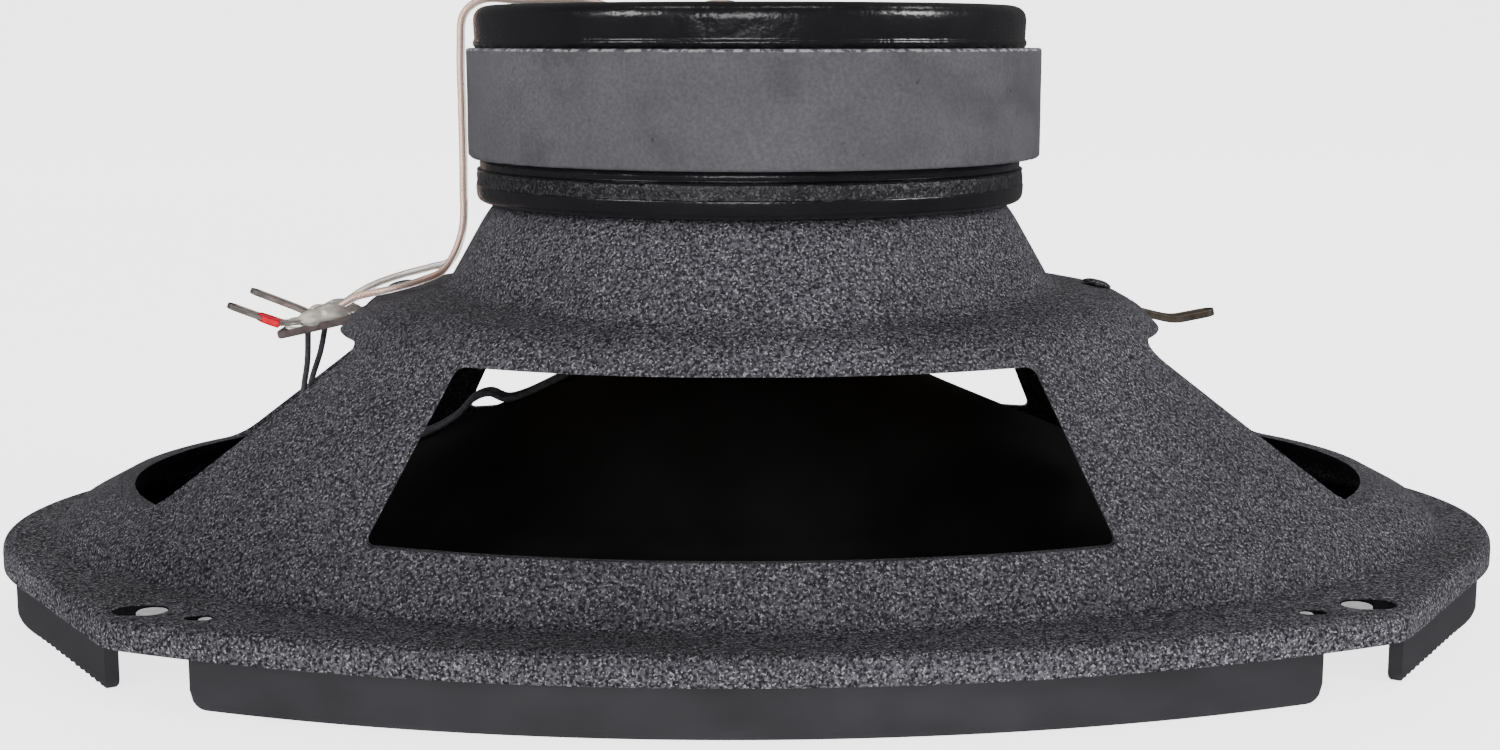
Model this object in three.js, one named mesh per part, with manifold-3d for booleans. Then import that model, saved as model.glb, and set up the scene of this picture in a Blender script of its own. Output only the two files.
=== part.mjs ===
// Two-way coaxial car speaker with an oval basket, lying face down: its front is at z = 0 and its magnet is
// on top. X is the long way of the oval, with the terminals at -X. The origin is under the voice coil's axis.
// Every length is in millimetres.
import * as THREE from 'three';
import Module from 'manifold-3d';
import { mergeVertices } from 'three/addons/utils/BufferGeometryUtils.js';

const wasm = await Module();
wasm.setup();

// ---------------------------------------------------------------- driving dimensions
const GAP = 0.3; // air between pieces that touch on the real object
const SHEET = 1.3; // basket steel

// Flange outline: two long arcs, four straight chamfers and two end arcs
const HALF_LENGTH = 119;
const HALF_WIDTH = 81.5;
const LONG_ARC_RADIUS = 211;
const END_ARC_RADIUS = 51;
const CORNER_X = 88;
const CORNER_RADIUS = 3;
const FLANGE_TOP = 11.66;
const RIM_BOTTOM = 7.46;

// Stack of the motor along Z
const NECK_TOP = 63.3;
const FRONT_PLATE_BOTTOM = NECK_TOP + GAP;
const FRONT_PLATE_TOP = 70;
const MAGNET = { inner: 22, outer: 45.2, bottom: FRONT_PLATE_TOP + GAP, top: 86.9 };
const YOKE_BOTTOM = MAGNET.top + GAP;
const YOKE_TOP = 93.6;
const YOKE_RADIUS = 43.5;
const FRONT_PLATE_RADIUS = 43.4;
const GAP_OUTER_RADIUS = 14.2; // bore of the front plate, outside of the magnetic gap
const POLE_RADIUS = 11.7;
const POLE_BORE = 5.2;
const RECESS_RADIUS = 26;
const RECESS_DEPTH = 2.2;
const NUT_POCKET_RADIUS = 9;
const NUT_POCKET_FLOOR = 88.6;

// Corners of the basket's windows: across, z. Those of the front and the rear lie off centre.
const FRONT_WINDOW = [[-54, 19.8], [49.4, 19.8], [39.2, 42.8], [-42, 42.8]];
const REAR_WINDOW = [[-52, 19.8], [54, 19.8], [43.6, 42.8], [-40.8, 42.8]];
const END_WINDOW = [[-30.6, 19.4], [30.6, 19.4], [24.8, 43.6], [-24.8, 43.6]];

// Mounting holes in the flange's corners
const SLOT = { x: 84, y: 58, length: 7.7, width: 5.5 };
const SMALL_SLOT = { x: 75.2, y: 62, length: 4, width: 2.5 };

// Trim ring
const WALL_INSET = 1.7;
const WALL_THICKNESS = 2;
const FRONT_WALL_HALF = 77.6;
const END_WALL_HALF = 57;
const TRIM_PLATE_BOTTOM = 7.6;
const TRIM_PLATE_TOP = 8.9;
const TRIM_OPENING = { a: 107.5, b: 69.5 };

// Cone and its suspension
const CONE_APEX = { radius: 13.2, z: 42.3 };
const CONE_EDGE = { a: 92, b: 54, z: 9.5 };
const CONE_CURVE = 0.9; // below 1, the cone is steeper near its apex
const CONE_THICKNESS = 0.8;
const CONE_SQUARENESS = 2.15;
const ROLL_OUTER = { a: 104.5, b: 66.5 };
const ROLL_HEIGHT = 4.2;
const SURROUND_THICKNESS = 0.8;
const SURROUND_LIP = { a: 112.5, b: 74.5, bottom: 9.2 };
const SPIDER = { inner: 12.8, outer: 46.6, z: 47.9, wave: 1, folds: 9, thickness: 0.5 };
const FORMER = { inner: 12.1, outer: 12.5, bottom: 40.4, top: 71 };
const COIL = { inner: 12.8, outer: 13.4, bottom: 61, top: 72 };
const DUST_RING = { inner: 6, outer: 11.8, bottom: 42, top: 42.8 };

// Tweeter and the stem that carries it
const STEM = { outer: 4.6, bore: 2.6, bottom: 21.8, top: 92.8, flange: 8, flangeHeight: 1.5 };
const WASHER = { radius: 8, thickness: 0.8 };
const NUT = { across: 11, thickness: 2.5 };
const HOUSING = { radius: 21, wall: 1.5, front: 5.6, back: 21.5 };
const FACE = { front: 4, back: 5.3, opening: 12.4, collar: 14, collarBack: 8.7, bar: 3 };
const DOME = { radius: 7.8, edge: 9.3, rise: 2.4, thickness: 0.35 };
const TWEETER_COIL = { inner: 7.2, outer: 7.8, bottom: 9.6, top: 12.6 };
const TWEETER_SURROUND = { inner: 8.1, outer: 13.6, bottom: 9, top: 9.3 };
const TWEETER_CUP = { outer: 9.8, inner: 8.3, front: 11.4, floor: 16.5, back: 17.8 };
const TWEETER_MAGNET = { radius: 6.3, bottom: 13, top: 16.2 };
const POLE_PIECE = { radius: 6.7, bottom: 11.4, top: 12.7 };
const CAPACITOR = { x: -15, radius: 3.2, bottom: 10, top: 17.6 };

// Terminal end
const PLATFORM_SLOPE = 0.233; // fall of the basket's end platforms, mm per mm outwards
const PLATFORM_TILT = Math.atan(PLATFORM_SLOPE);
const PLATFORM_AT = { x: 56, z: 49.18 }; // a point on the platform's outer face
const NOTCH_START = 59.6;
const BOARD = { inner: 52.5, tip: 76.7, width: 14, thickness: 1.2, drop: 0.9 }; // drop: air above it
const BOARD_NOTCH_HALF = 8;
const TAB_NOTCH_HALF = 2.7;
const LUG = { width: 2.6, thickness: 0.8, y: 4, root: 67, flat: 71 }; // flat: end of the stretch on the board
const POSITIVE_LUG = { bend: [-75.2, 44.1], tip: [-82.5, 46.6] }; // points [x, z] of the centre line
const NEGATIVE_LUG = { bend: [-73.4, 45.3], tip: [-80.9, 48.2] };
const MARK = { from: 0.13, to: 0.55 }; // shares of the way from the positive lug's bend to its tip
// drop: air under the platform; free: points [x, z] of the centre line beyond the notch's edge
const TAB = {
  width: 4.4,
  thickness: 0.9,
  drop: 0.6,
  inner: 53,
  free: [[64.5, 44.5], [68.5, 43.6], [75.2, 44.9]],
};
const RIVET = { shank: 1.2, head: 2.4, headHeight: 0.8 };
const SOLDER = { x: 65.1, half: [1.4, 1.6, 0.9] };
const WIRE_DIAMETER = 1;
const WIRE_PAIR = 0.68; // half the distance between the two leads where they run side by side
const TINSEL_DIAMETER = 0.9;
const EYELET = { x: -72.5, y: 2, radius: 1.6, thickness: 0.8 };

const FULL_TURN = Math.PI * 2;
const SIDES = { oval: 40, magnet: 40, motor: 32, turned: 24, stem: 20, disc: 16, hole: 12, nut: 6 };
const STEPS = { wire: 56, tinsel: 10 }; // along the leads
const FLANGE_CUT = { bottom: 5, top: 14 }; // heights between which cutters pass through the flange

// ---------------------------------------------------------------- geometry helpers
// Merges shared corners and turns the faces outwards.
function closeUp(geometry) {
  geometry.deleteAttribute('normal');
  geometry.deleteAttribute('uv');
  const merged = mergeVertices(geometry, 1e-4);
  const p = merged.attributes.position;
  const index = merged.index.array;
  const corner = [new THREE.Vector3(), new THREE.Vector3(), new THREE.Vector3()];
  let volume = 0;
  for (let i = 0; i < index.length; i += 3) {
    corner.forEach((v, k) => v.fromBufferAttribute(p, index[i + k]));
    volume += corner[0].dot(corner[1].clone().cross(corner[2]));
  }
  if (volume < 0) {
    for (let i = 0; i < index.length; i += 3) {
      [index[i], index[i + 1]] = [index[i + 1], index[i]];
    }
  }
  return merged;
}

function toManifold(geometry) {
  const closed = closeUp(geometry);
  return new wasm.Manifold(
    new wasm.Mesh({
      numProp: 3,
      vertProperties: new Float32Array(closed.attributes.position.array),
      triVerts: new Uint32Array(closed.index.array),
    }),
  );
}

function fromManifold(manifold) {
  const mesh = manifold.getMesh();
  const geometry = new THREE.BufferGeometry();
  geometry.setAttribute('position', new THREE.BufferAttribute(mesh.vertProperties, 3));
  geometry.setIndex(new THREE.BufferAttribute(mesh.triVerts, 1));
  return geometry;
}

function cut(geometry, cutters) {
  let result = toManifold(geometry);
  for (const cutter of cutters) result = result.subtract(toManifold(cutter));
  return fromManifold(result);
}

function join(geometries) {
  let result = toManifold(geometries[0]);
  for (const other of geometries.slice(1)) result = result.add(toManifold(other));
  return fromManifold(result);
}

// Joins rings of points into a closed skin. The last ring meets the first one.
function loft(rings) {
  const count = rings[0].length;
  const position = rings.flat().flatMap((v) => [v.x, v.y, v.z]);
  const index = [];
  rings.forEach((ring, k) => {
    const next = (k + 1) % rings.length;
    for (let i = 0; i < count; i++) {
      const j = (i + 1) % count;
      const [a, b, c, d] = [k * count + i, k * count + j, next * count + j, next * count + i];
      index.push(a, b, c, a, c, d);
    }
  });
  const geometry = new THREE.BufferGeometry();
  geometry.setAttribute('position', new THREE.Float32BufferAttribute(position, 3));
  geometry.setIndex(index);
  return geometry;
}

// Turns a closed outline of [radius, z] points about Z.
function turned(outline, segments) {
  const points = [...outline, outline[0]].map(([r, z]) => new THREE.Vector2(r, z));
  return new THREE.LatheGeometry(points, segments).rotateX(Math.PI / 2);
}

function tube({ inner, outer, bottom, top }, segments = SIDES.turned) {
  return turned([[inner, bottom], [outer, bottom], [outer, top], [inner, top]], segments);
}

function disc(radius, bottom, top, segments) {
  const geometry = new THREE.CylinderGeometry(radius, radius, top - bottom, segments);
  return geometry.rotateX(Math.PI / 2).translate(0, 0, (bottom + top) / 2);
}

function plug({ radius, bottom, top }) {
  return disc(radius, bottom, top, SIDES.turned);
}

function box(low, high) {
  const size = high.map((v, k) => v - low[k]);
  return new THREE.BoxGeometry(...size).translate(...low.map((v, k) => v + size[k] / 2));
}

// A point of a superellipse with half-axes a and b. An exponent of 2 is an ellipse.
function ovalPoint(angle, a, b, exponent) {
  const c = Math.cos(angle);
  const s = Math.sin(angle);
  const power = 2 / exponent;
  return new THREE.Vector3(
    a * Math.sign(c) * Math.abs(c) ** power,
    b * Math.sign(s) * Math.abs(s) ** power,
    0,
  );
}

function ovalRing(angles, { a, b, z, exponent = 2 }) {
  return angles.map((angle) => ovalPoint(angle, a, b, exponent).setZ(z));
}

function evenAngles(count) {
  return Array.from({ length: count }, (_, i) => (FULL_TURN * i) / count);
}

// A prism of a convex outline in the XZ plane, with rounded corners, from y0 to y1.
function prismAlongY(corners, radius, y0, y1) {
  const shape = roundedShape(corners, radius);
  const options = { depth: y1 - y0, bevelEnabled: false, curveSegments: 3 };
  return new THREE.ExtrudeGeometry(shape, options).rotateX(Math.PI / 2).translate(0, y1, 0);
}

function roundedShape(corners, radius) {
  const shape = new THREE.Shape();
  corners.forEach((corner, i) => {
    const at = new THREE.Vector2(...corner);
    const before = new THREE.Vector2(...corners[(i + corners.length - 1) % corners.length]);
    const after = new THREE.Vector2(...corners[(i + 1) % corners.length]);
    const start = at.clone().add(before.sub(at).setLength(radius));
    const end = at.clone().add(after.sub(at).setLength(radius));
    if (i === 0) shape.moveTo(start.x, start.y);
    else shape.lineTo(start.x, start.y);
    shape.quadraticCurveTo(at.x, at.y, end.x, end.y);
  });
  shape.closePath();
  return shape;
}

// A slot with round ends along X, cut down through the flange.
function slotCutter({ x, y, length, width }) {
  const { bottom, top } = FLANGE_CUT;
  const half = (length - width) / 2;
  const shape = new THREE.Shape();
  shape.absarc(x + half, y, width / 2, -Math.PI / 2, Math.PI / 2);
  shape.absarc(x - half, y, width / 2, Math.PI / 2, (Math.PI * 3) / 2);
  const options = { depth: top - bottom, bevelEnabled: false, curveSegments: 5 };
  return new THREE.ExtrudeGeometry(shape, options).translate(0, 0, bottom);
}

function inAllCorners(make) {
  return [[1, 1], [-1, 1], [-1, -1], [1, -1]].map(([sx, sy]) => make(sx, sy));
}

// A bent strip of sheet metal: the centre line runs in the XZ plane, and the width along Y.
function strip(centreLine, thickness, width, y) {
  const line = centreLine.map(([x, z]) => new THREE.Vector2(x, z));
  const side = (sign) =>
    line.map((point, i) => {
      const along = line[Math.min(i + 1, line.length - 1)].clone().sub(line[Math.max(i - 1, 0)]).normalize();
      return point.clone().add(new THREE.Vector2(-along.y, along.x).multiplyScalar((sign * thickness) / 2));
    });
  const shape = new THREE.Shape([...side(1), ...side(-1).reverse()]);
  const options = { depth: width, bevelEnabled: false };
  return new THREE.ExtrudeGeometry(shape, options).rotateX(Math.PI / 2).translate(0, y + width / 2, 0);
}

// A round wire along a smooth curve through the route's points.
function wire(route, diameter, steps) {
  const path = new THREE.CatmullRomCurve3(route.map((p) => new THREE.Vector3(...p)), false, 'centripetal');
  const section = new THREE.Shape();
  const sides = 6;
  for (let i = 0; i < sides; i++) {
    const angle = (FULL_TURN * i) / sides;
    const x = (Math.cos(angle) * diameter) / 2;
    const y = (Math.sin(angle) * diameter) / 2;
    if (i === 0) section.moveTo(x, y);
    else section.lineTo(x, y);
  }
  section.closePath();
  return new THREE.ExtrudeGeometry(section, { steps, bevelEnabled: false, extrudePath: path });
}

// ---------------------------------------------------------------- flange outline
// One quarter of the outline, from the apex on +Y to the apex on +X.
function quarterOutline() {
  const longCentre = HALF_WIDTH - LONG_ARC_RADIUS;
  const onLongArc = (x) => new THREE.Vector2(x, longCentre + Math.sqrt(LONG_ARC_RADIUS ** 2 - x ** 2));
  const endCentre = new THREE.Vector2(HALF_LENGTH - END_ARC_RADIUS, 0);
  const corner = onLongArc(CORNER_X);
  const toCorner = corner.clone().sub(endCentre);
  const tangentAngle = toCorner.angle() - Math.acos(END_ARC_RADIUS / toCorner.length());
  const onEndArc = (angle) =>
    endCentre.clone().add(new THREE.Vector2(Math.cos(angle), Math.sin(angle)).multiplyScalar(END_ARC_RADIUS));
  const tangent = onEndArc(tangentAngle);
  const points = [];
  const longSteps = 6;
  for (let i = 0; i < longSteps; i++) points.push(onLongArc(((CORNER_X - CORNER_RADIUS) * i) / longSteps));
  const cornerStart = onLongArc(CORNER_X - CORNER_RADIUS);
  const cornerEnd = corner.clone().add(tangent.clone().sub(corner).setLength(CORNER_RADIUS));
  const cornerMiddle = cornerStart.clone().add(cornerEnd).multiplyScalar(0.25).addScaledVector(corner, 0.5);
  points.push(cornerStart, cornerMiddle, cornerEnd);
  const chamferSteps = 3;
  for (let i = 1; i < chamferSteps; i++) points.push(cornerEnd.clone().lerp(tangent, i / chamferSteps));
  const endSteps = 3;
  for (let i = 0; i <= endSteps; i++) points.push(onEndArc(tangentAngle * (1 - i / endSteps)));
  return points;
}

function fullOutline() {
  const quarter = quarterOutline();
  const inner = quarter.slice(1, -1);
  const mirrored = (list, sx, sy) => list.map((p) => new THREE.Vector2(sx * p.x, sy * p.y));
  return [
    quarter.at(-1),
    ...[...inner].reverse(),
    quarter[0],
    ...mirrored(inner, -1, 1),
    new THREE.Vector2(-quarter.at(-1).x, 0),
    ...mirrored([...inner].reverse(), -1, -1),
    new THREE.Vector2(0, -quarter[0].y),
    ...mirrored(inner, 1, -1),
  ];
}

const OUTLINE = fullOutline();
const OUTLINE_ANGLES = OUTLINE.map((p) => Math.atan2(p.y / HALF_WIDTH, p.x / HALF_LENGTH));

// The outline moved inwards by an inset, at height z.
function outlineRing(inset, z) {
  return OUTLINE.map((point, i) => {
    const before = OUTLINE[(i + OUTLINE.length - 1) % OUTLINE.length];
    const after = OUTLINE[(i + 1) % OUTLINE.length];
    const along = after.clone().sub(before).normalize();
    return new THREE.Vector3(point.x - along.y * inset, point.y + along.x * inset, z);
  });
}

// ---------------------------------------------------------------- materials
const materials = {
  texturedPaint: () => new THREE.MeshStandardMaterial({ color: 0x3b3a40, roughness: 0.75, metalness: 0.2 }),
  blackPlastic: () => new THREE.MeshStandardMaterial({ color: 0x2f2e33, roughness: 0.45, metalness: 0 }),
  glossCoat: () => new THREE.MeshStandardMaterial({ color: 0x1c1b20, roughness: 0.25, metalness: 0.4 }),
  ferrite: () => new THREE.MeshStandardMaterial({ color: 0x626167, roughness: 0.7, metalness: 0.1 }),
  fibreBoard: () => new THREE.MeshStandardMaterial({ color: 0x4b4141, roughness: 0.8, metalness: 0 }),
  tin: () => new THREE.MeshStandardMaterial({ color: 0xb0aaa4, roughness: 0.35, metalness: 0.9 }),
  redPaint: () => new THREE.MeshStandardMaterial({ color: 0xe0203c, roughness: 0.5, metalness: 0 }),
  copperWire: () => new THREE.MeshStandardMaterial({ color: 0xc98f78, roughness: 0.3, metalness: 0.4 }),
  tinnedWire: () => new THREE.MeshStandardMaterial({ color: 0xc9c4c0, roughness: 0.3, metalness: 0.4 }),
  tinsel: () => new THREE.MeshStandardMaterial({ color: 0x35343a, roughness: 0.85, metalness: 0.1 }),
  bareSteel: () => new THREE.MeshStandardMaterial({ color: 0x7d7468, roughness: 0.45, metalness: 0.8 }),
  conePaper: () => new THREE.MeshStandardMaterial({ color: 0x0b0b0d, roughness: 0.6, metalness: 0 }),
  rubber: () => new THREE.MeshStandardMaterial({ color: 0x121214, roughness: 0.7, metalness: 0 }),
  spiderCloth: () => new THREE.MeshStandardMaterial({ color: 0xb9a26c, roughness: 0.9, metalness: 0 }),
  former: () => new THREE.MeshStandardMaterial({ color: 0xb8935f, roughness: 0.5, metalness: 0.1 }),
  copper: () => new THREE.MeshStandardMaterial({ color: 0xa4552a, roughness: 0.35, metalness: 0.8 }),
  silk: () => new THREE.MeshStandardMaterial({ color: 0x22222a, roughness: 0.55, metalness: 0 }),
  zinc: () => new THREE.MeshStandardMaterial({ color: 0xa9adb2, roughness: 0.35, metalness: 0.9 }),
  capacitorSleeve: () => new THREE.MeshStandardMaterial({ color: 0x1f2f55, roughness: 0.4, metalness: 0 }),
};

const speaker = new THREE.Group();

function add(name, geometry, material, parent = speaker) {
  const mesh = new THREE.Mesh(closeUp(geometry), material());
  mesh.name = name;
  parent.add(mesh);
  return mesh;
}

// ---------------------------------------------------------------- basket
// Stations of the basket's outer face, from the seat of the motor out to the flange: half-axes a and b,
// heights on the X axis and on the Y axis, and the exponent of the oval.
const BASKET_STATIONS = [
  { a: 30, b: 30, za: NECK_TOP, zb: NECK_TOP, exponent: 2 },
  { a: 39.7, b: 39.7, za: NECK_TOP, zb: NECK_TOP, exponent: 2 },
  { a: 41.3, b: 41.3, za: 62.4, zb: 62.4, exponent: 2 },
  { a: 42, b: 42, za: 61, zb: 61, exponent: 2 },
  { a: 47.6, b: 48.1, za: 51.2, zb: 49.6, exponent: 2 },
  { a: 49, b: 49.4, za: 50.4, zb: 48.5, exponent: 2 },
  { a: 58.5, b: 50.9, za: 48.6, zb: 47.6, exponent: 2.05 },
  { a: 62.5, b: 52.3, za: 46.4, zb: 46.2, exponent: 2.12 },
  { a: 64.8, b: 53.5, za: 43.8, zb: 43.8, exponent: 2.15 },
  { a: 67.3, b: 54.9, za: 41.4, zb: 41.2, exponent: 2.12 },
  { a: 79.8, b: 59.2, za: 33, zb: 33, exponent: 2.06 },
  { a: 99.7, b: 66.1, za: 20, zb: 20, exponent: 2 },
  { a: 107, b: 68.2, za: 16.2, zb: 16.2, exponent: 2 },
  { a: 109.6, b: 69.1, za: 14.2, zb: 14.2, exponent: 2 },
  { a: 110.5, b: 69.8, za: 12.4, zb: 12.4, exponent: 2 },
  { a: 111.8, b: 70.8, za: FLANGE_TOP, zb: FLANGE_TOP, exponent: 2 },
];

const STRAIGHT_STATIONS = [2, 10, 12]; // the inner face runs straight past these

function stationRing({ a, b, za, zb, exponent }) {
  return OUTLINE_ANGLES.map((angle) => {
    const point = ovalPoint(angle, a, b, exponent);
    return point.setZ(za * Math.cos(angle) ** 2 + zb * Math.sin(angle) ** 2);
  });
}

// The same stations on the inner face, one sheet thickness below the outer face.
function innerStations() {
  return BASKET_STATIONS.map((station, k) => {
    const before = BASKET_STATIONS[Math.max(k - 1, 0)];
    const after = BASKET_STATIONS[Math.min(k + 1, BASKET_STATIONS.length - 1)];
    const last = k === BASKET_STATIONS.length - 1;
    const alongX = new THREE.Vector2(after.a - before.a, last ? 0 : after.za - before.za).setLength(SHEET);
    const alongY = new THREE.Vector2(after.b - before.b, last ? 0 : after.zb - before.zb).setLength(SHEET);
    return {
      a: station.a + alongX.y,
      b: station.b + alongY.y,
      za: station.za - alongX.x,
      zb: station.zb - alongY.x,
      exponent: station.exponent,
    };
  });
}

function windowCutters() {
  const longCut = { radius: 1.6, near: 30, far: 78 };
  const endCut = { radius: 2.5, near: 52, far: 110 };
  const front = prismAlongY(FRONT_WINDOW, longCut.radius, -longCut.far, -longCut.near);
  const rear = prismAlongY(REAR_WINDOW, longCut.radius, longCut.near, longCut.far);
  const end = prismAlongY(END_WINDOW, endCut.radius, endCut.near, endCut.far);
  return [front, rear, end.clone().rotateZ(Math.PI / 2), end.clone().rotateZ(-Math.PI / 2)];
}

function notchCutters() {
  const end = 70;
  const top = 50;
  const bottom = 39;
  return [
    box([-end, -BOARD_NOTCH_HALF, bottom], [-NOTCH_START, BOARD_NOTCH_HALF, top]),
    box([NOTCH_START, -TAB_NOTCH_HALF, bottom], [end, TAB_NOTCH_HALF, top]),
  ];
}

// Height of an end platform's outer face at a distance from the axis.
function platformTop(x) {
  return PLATFORM_AT.z - (x - PLATFORM_AT.x) * PLATFORM_SLOPE;
}

// Places a piece made about the origin on an end platform, square to its slope. side is -1 or 1.
function onPlatform(geometry, side, x) {
  return geometry.rotateY(side * PLATFORM_TILT).translate(side * x, 0, platformTop(x));
}

// The hole for a rivet, through the platform and what hangs under it.
function rivetHole(side) {
  const depth = 6;
  const height = 4;
  return onPlatform(disc(RIVET.shank + GAP, -depth, height, SIDES.hole), side, PLATFORM_AT.x);
}

function makeBasket() {
  const outer = BASKET_STATIONS.map(stationRing);
  const inner = innerStations().filter((_, k) => !STRAIGHT_STATIONS.includes(k)).map(stationRing).reverse();
  const edge = 2.2;
  const rim = [
    outlineRing(edge, FLANGE_TOP),
    outlineRing(edge * 0.27, FLANGE_TOP - edge * 0.25),
    outlineRing(0, FLANGE_TOP - edge * 0.85),
    outlineRing(0, RIM_BOTTOM),
    outlineRing(SHEET, RIM_BOTTOM),
    outlineRing(SHEET, FLANGE_TOP - SHEET),
  ];
  const slots = [SLOT, SMALL_SLOT].flatMap((slot) =>
    inAllCorners((sx, sy) => slotCutter({ ...slot, x: sx * slot.x, y: sy * slot.y })),
  );
  const cutters = [...windowCutters(), ...notchCutters(), rivetHole(-1), rivetHole(1), ...slots];
  return cut(loft([...outer, ...rim, ...inner]), cutters);
}

// ---------------------------------------------------------------- trim ring
function makeTrimRing() {
  const plateInner = ovalRing(OUTLINE_ANGLES, { ...TRIM_OPENING, exponent: 2.1 });
  const inset = WALL_INSET + WALL_THICKNESS;
  const at = (ring, z) => ring.map((v) => v.clone().setZ(z));
  const ring = loft([
    outlineRing(WALL_INSET, 0),
    outlineRing(WALL_INSET, TRIM_PLATE_TOP),
    at(plateInner, TRIM_PLATE_TOP),
    at(plateInner, TRIM_PLATE_BOTTOM),
    outlineRing(inset, TRIM_PLATE_BOTTOM),
    outlineRing(inset, 0),
  ]);
  const gaps = inAllCorners((sx, sy) => {
    const xs = [sx * FRONT_WALL_HALF, sx * HALF_LENGTH].sort((p, q) => p - q);
    const ys = [sy * END_WALL_HALF, sy * HALF_WIDTH].sort((p, q) => p - q);
    return box([xs[0], ys[0], -1], [xs[1], ys[1], TRIM_PLATE_BOTTOM]);
  });
  const rooms = [
    { slot: SLOT, air: 2 },
    { slot: SMALL_SLOT, air: 1 },
  ];
  const clearances = rooms.flatMap(({ slot, air }) =>
    inAllCorners((sx, sy) =>
      disc(slot.length / 2 + air, FLANGE_CUT.bottom, FLANGE_CUT.top, SIDES.disc).translate(
        sx * slot.x,
        sy * slot.y,
        0,
      ),
    ),
  );
  return cut(ring, [...gaps, ...clearances]);
}

// ---------------------------------------------------------------- motor
// The punched edge has a rolled lower corner, a full middle and a lip that steps in under the magnet.
function makeFrontPlate() {
  const roll = { in: 1.4, shoulder: 0.3, rise: 0.7, height: 2 };
  const lip = { in: 0.7, bottom: 1.9, step: 1.5, edge: 0.4 };
  return turned(
    [
      [GAP_OUTER_RADIUS, FRONT_PLATE_BOTTOM],
      [FRONT_PLATE_RADIUS - roll.in, FRONT_PLATE_BOTTOM],
      [FRONT_PLATE_RADIUS - roll.shoulder, FRONT_PLATE_BOTTOM + roll.rise],
      [FRONT_PLATE_RADIUS, FRONT_PLATE_BOTTOM + roll.height],
      [FRONT_PLATE_RADIUS, FRONT_PLATE_TOP - lip.bottom],
      [FRONT_PLATE_RADIUS - lip.in, FRONT_PLATE_TOP - lip.step],
      [FRONT_PLATE_RADIUS - lip.in, FRONT_PLATE_TOP - lip.edge],
      [FRONT_PLATE_RADIUS - lip.in - lip.edge, FRONT_PLATE_TOP],
      [GAP_OUTER_RADIUS, FRONT_PLATE_TOP],
    ],
    SIDES.motor,
  );
}

function makeYoke() {
  const edge = 2.8;
  const halfway = edge * (1 - Math.SQRT1_2);
  const foot = 0.6;
  return turned(
    [
      [POLE_BORE, FRONT_PLATE_BOTTOM],
      [POLE_RADIUS, FRONT_PLATE_BOTTOM],
      [POLE_RADIUS, YOKE_BOTTOM],
      [YOKE_RADIUS - foot, YOKE_BOTTOM],
      [YOKE_RADIUS, YOKE_BOTTOM + foot],
      [YOKE_RADIUS, YOKE_TOP - edge],
      [YOKE_RADIUS - halfway, YOKE_TOP - halfway],
      [YOKE_RADIUS - edge, YOKE_TOP],
      [RECESS_RADIUS, YOKE_TOP],
      [RECESS_RADIUS - RECESS_DEPTH, YOKE_TOP - RECESS_DEPTH],
      [NUT_POCKET_RADIUS, YOKE_TOP - RECESS_DEPTH],
      [NUT_POCKET_RADIUS, NUT_POCKET_FLOOR],
      [POLE_BORE, NUT_POCKET_FLOOR],
    ],
    SIDES.motor,
  );
}

// ---------------------------------------------------------------- cone and suspension
function coneAt(t) {
  const drop = (CONE_APEX.z - CONE_EDGE.z) * t ** CONE_CURVE;
  return {
    a: CONE_APEX.radius + (CONE_EDGE.a - CONE_APEX.radius) * t,
    b: CONE_APEX.radius + (CONE_EDGE.b - CONE_APEX.radius) * t,
    z: CONE_APEX.z - drop,
    exponent: 2 + (CONE_SQUARENESS - 2) * t,
  };
}

function makeCone() {
  const angles = evenAngles(SIDES.oval);
  const stops = [0, 0.12, 0.45, 1];
  const back = stops.map((t) => ovalRing(angles, coneAt(t)));
  const front = back.map((ring) => ring.map((v) => v.clone().setZ(v.z - CONE_THICKNESS)));
  return loft([...back, ...front.reverse()]);
}

function makeSurround() {
  const angles = evenAngles(SIDES.oval);
  const start = { a: CONE_EDGE.a + GAP, b: CONE_EDGE.b + GAP };
  const steps = 4;
  const back = [];
  for (let i = 0; i <= steps; i++) {
    const s = i / steps;
    back.push(
      ovalRing(angles, {
        a: start.a + (ROLL_OUTER.a - start.a) * s,
        b: start.b + (ROLL_OUTER.b - start.b) * s,
        z: SURROUND_LIP.bottom + SURROUND_THICKNESS - ROLL_HEIGHT * Math.sin(Math.PI * s),
        exponent: CONE_SQUARENESS,
      }),
    );
  }
  const lip = { a: SURROUND_LIP.a, b: SURROUND_LIP.b, exponent: CONE_SQUARENESS };
  back.push(ovalRing(angles, { ...lip, z: SURROUND_LIP.bottom + SURROUND_THICKNESS }));
  const front = back.map((ring) => ring.map((v) => v.clone().setZ(v.z - SURROUND_THICKNESS)));
  return loft([...back, ...front.reverse()]);
}

function makeSpider() {
  const lip = 2;
  const top = [[SPIDER.inner, SPIDER.z]];
  for (let i = 0; i < SPIDER.folds; i++) {
    const radius = SPIDER.inner + lip + ((SPIDER.outer - SPIDER.inner - 2 * lip) * i) / (SPIDER.folds - 1);
    top.push([radius, SPIDER.z + (i % 2 === 0 ? 0 : -SPIDER.wave)]);
  }
  top.push([SPIDER.outer, SPIDER.z]);
  const bottom = top.map(([radius, z]) => [radius, z - SPIDER.thickness]).reverse();
  return turned([...top, ...bottom], SIDES.turned);
}

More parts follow.
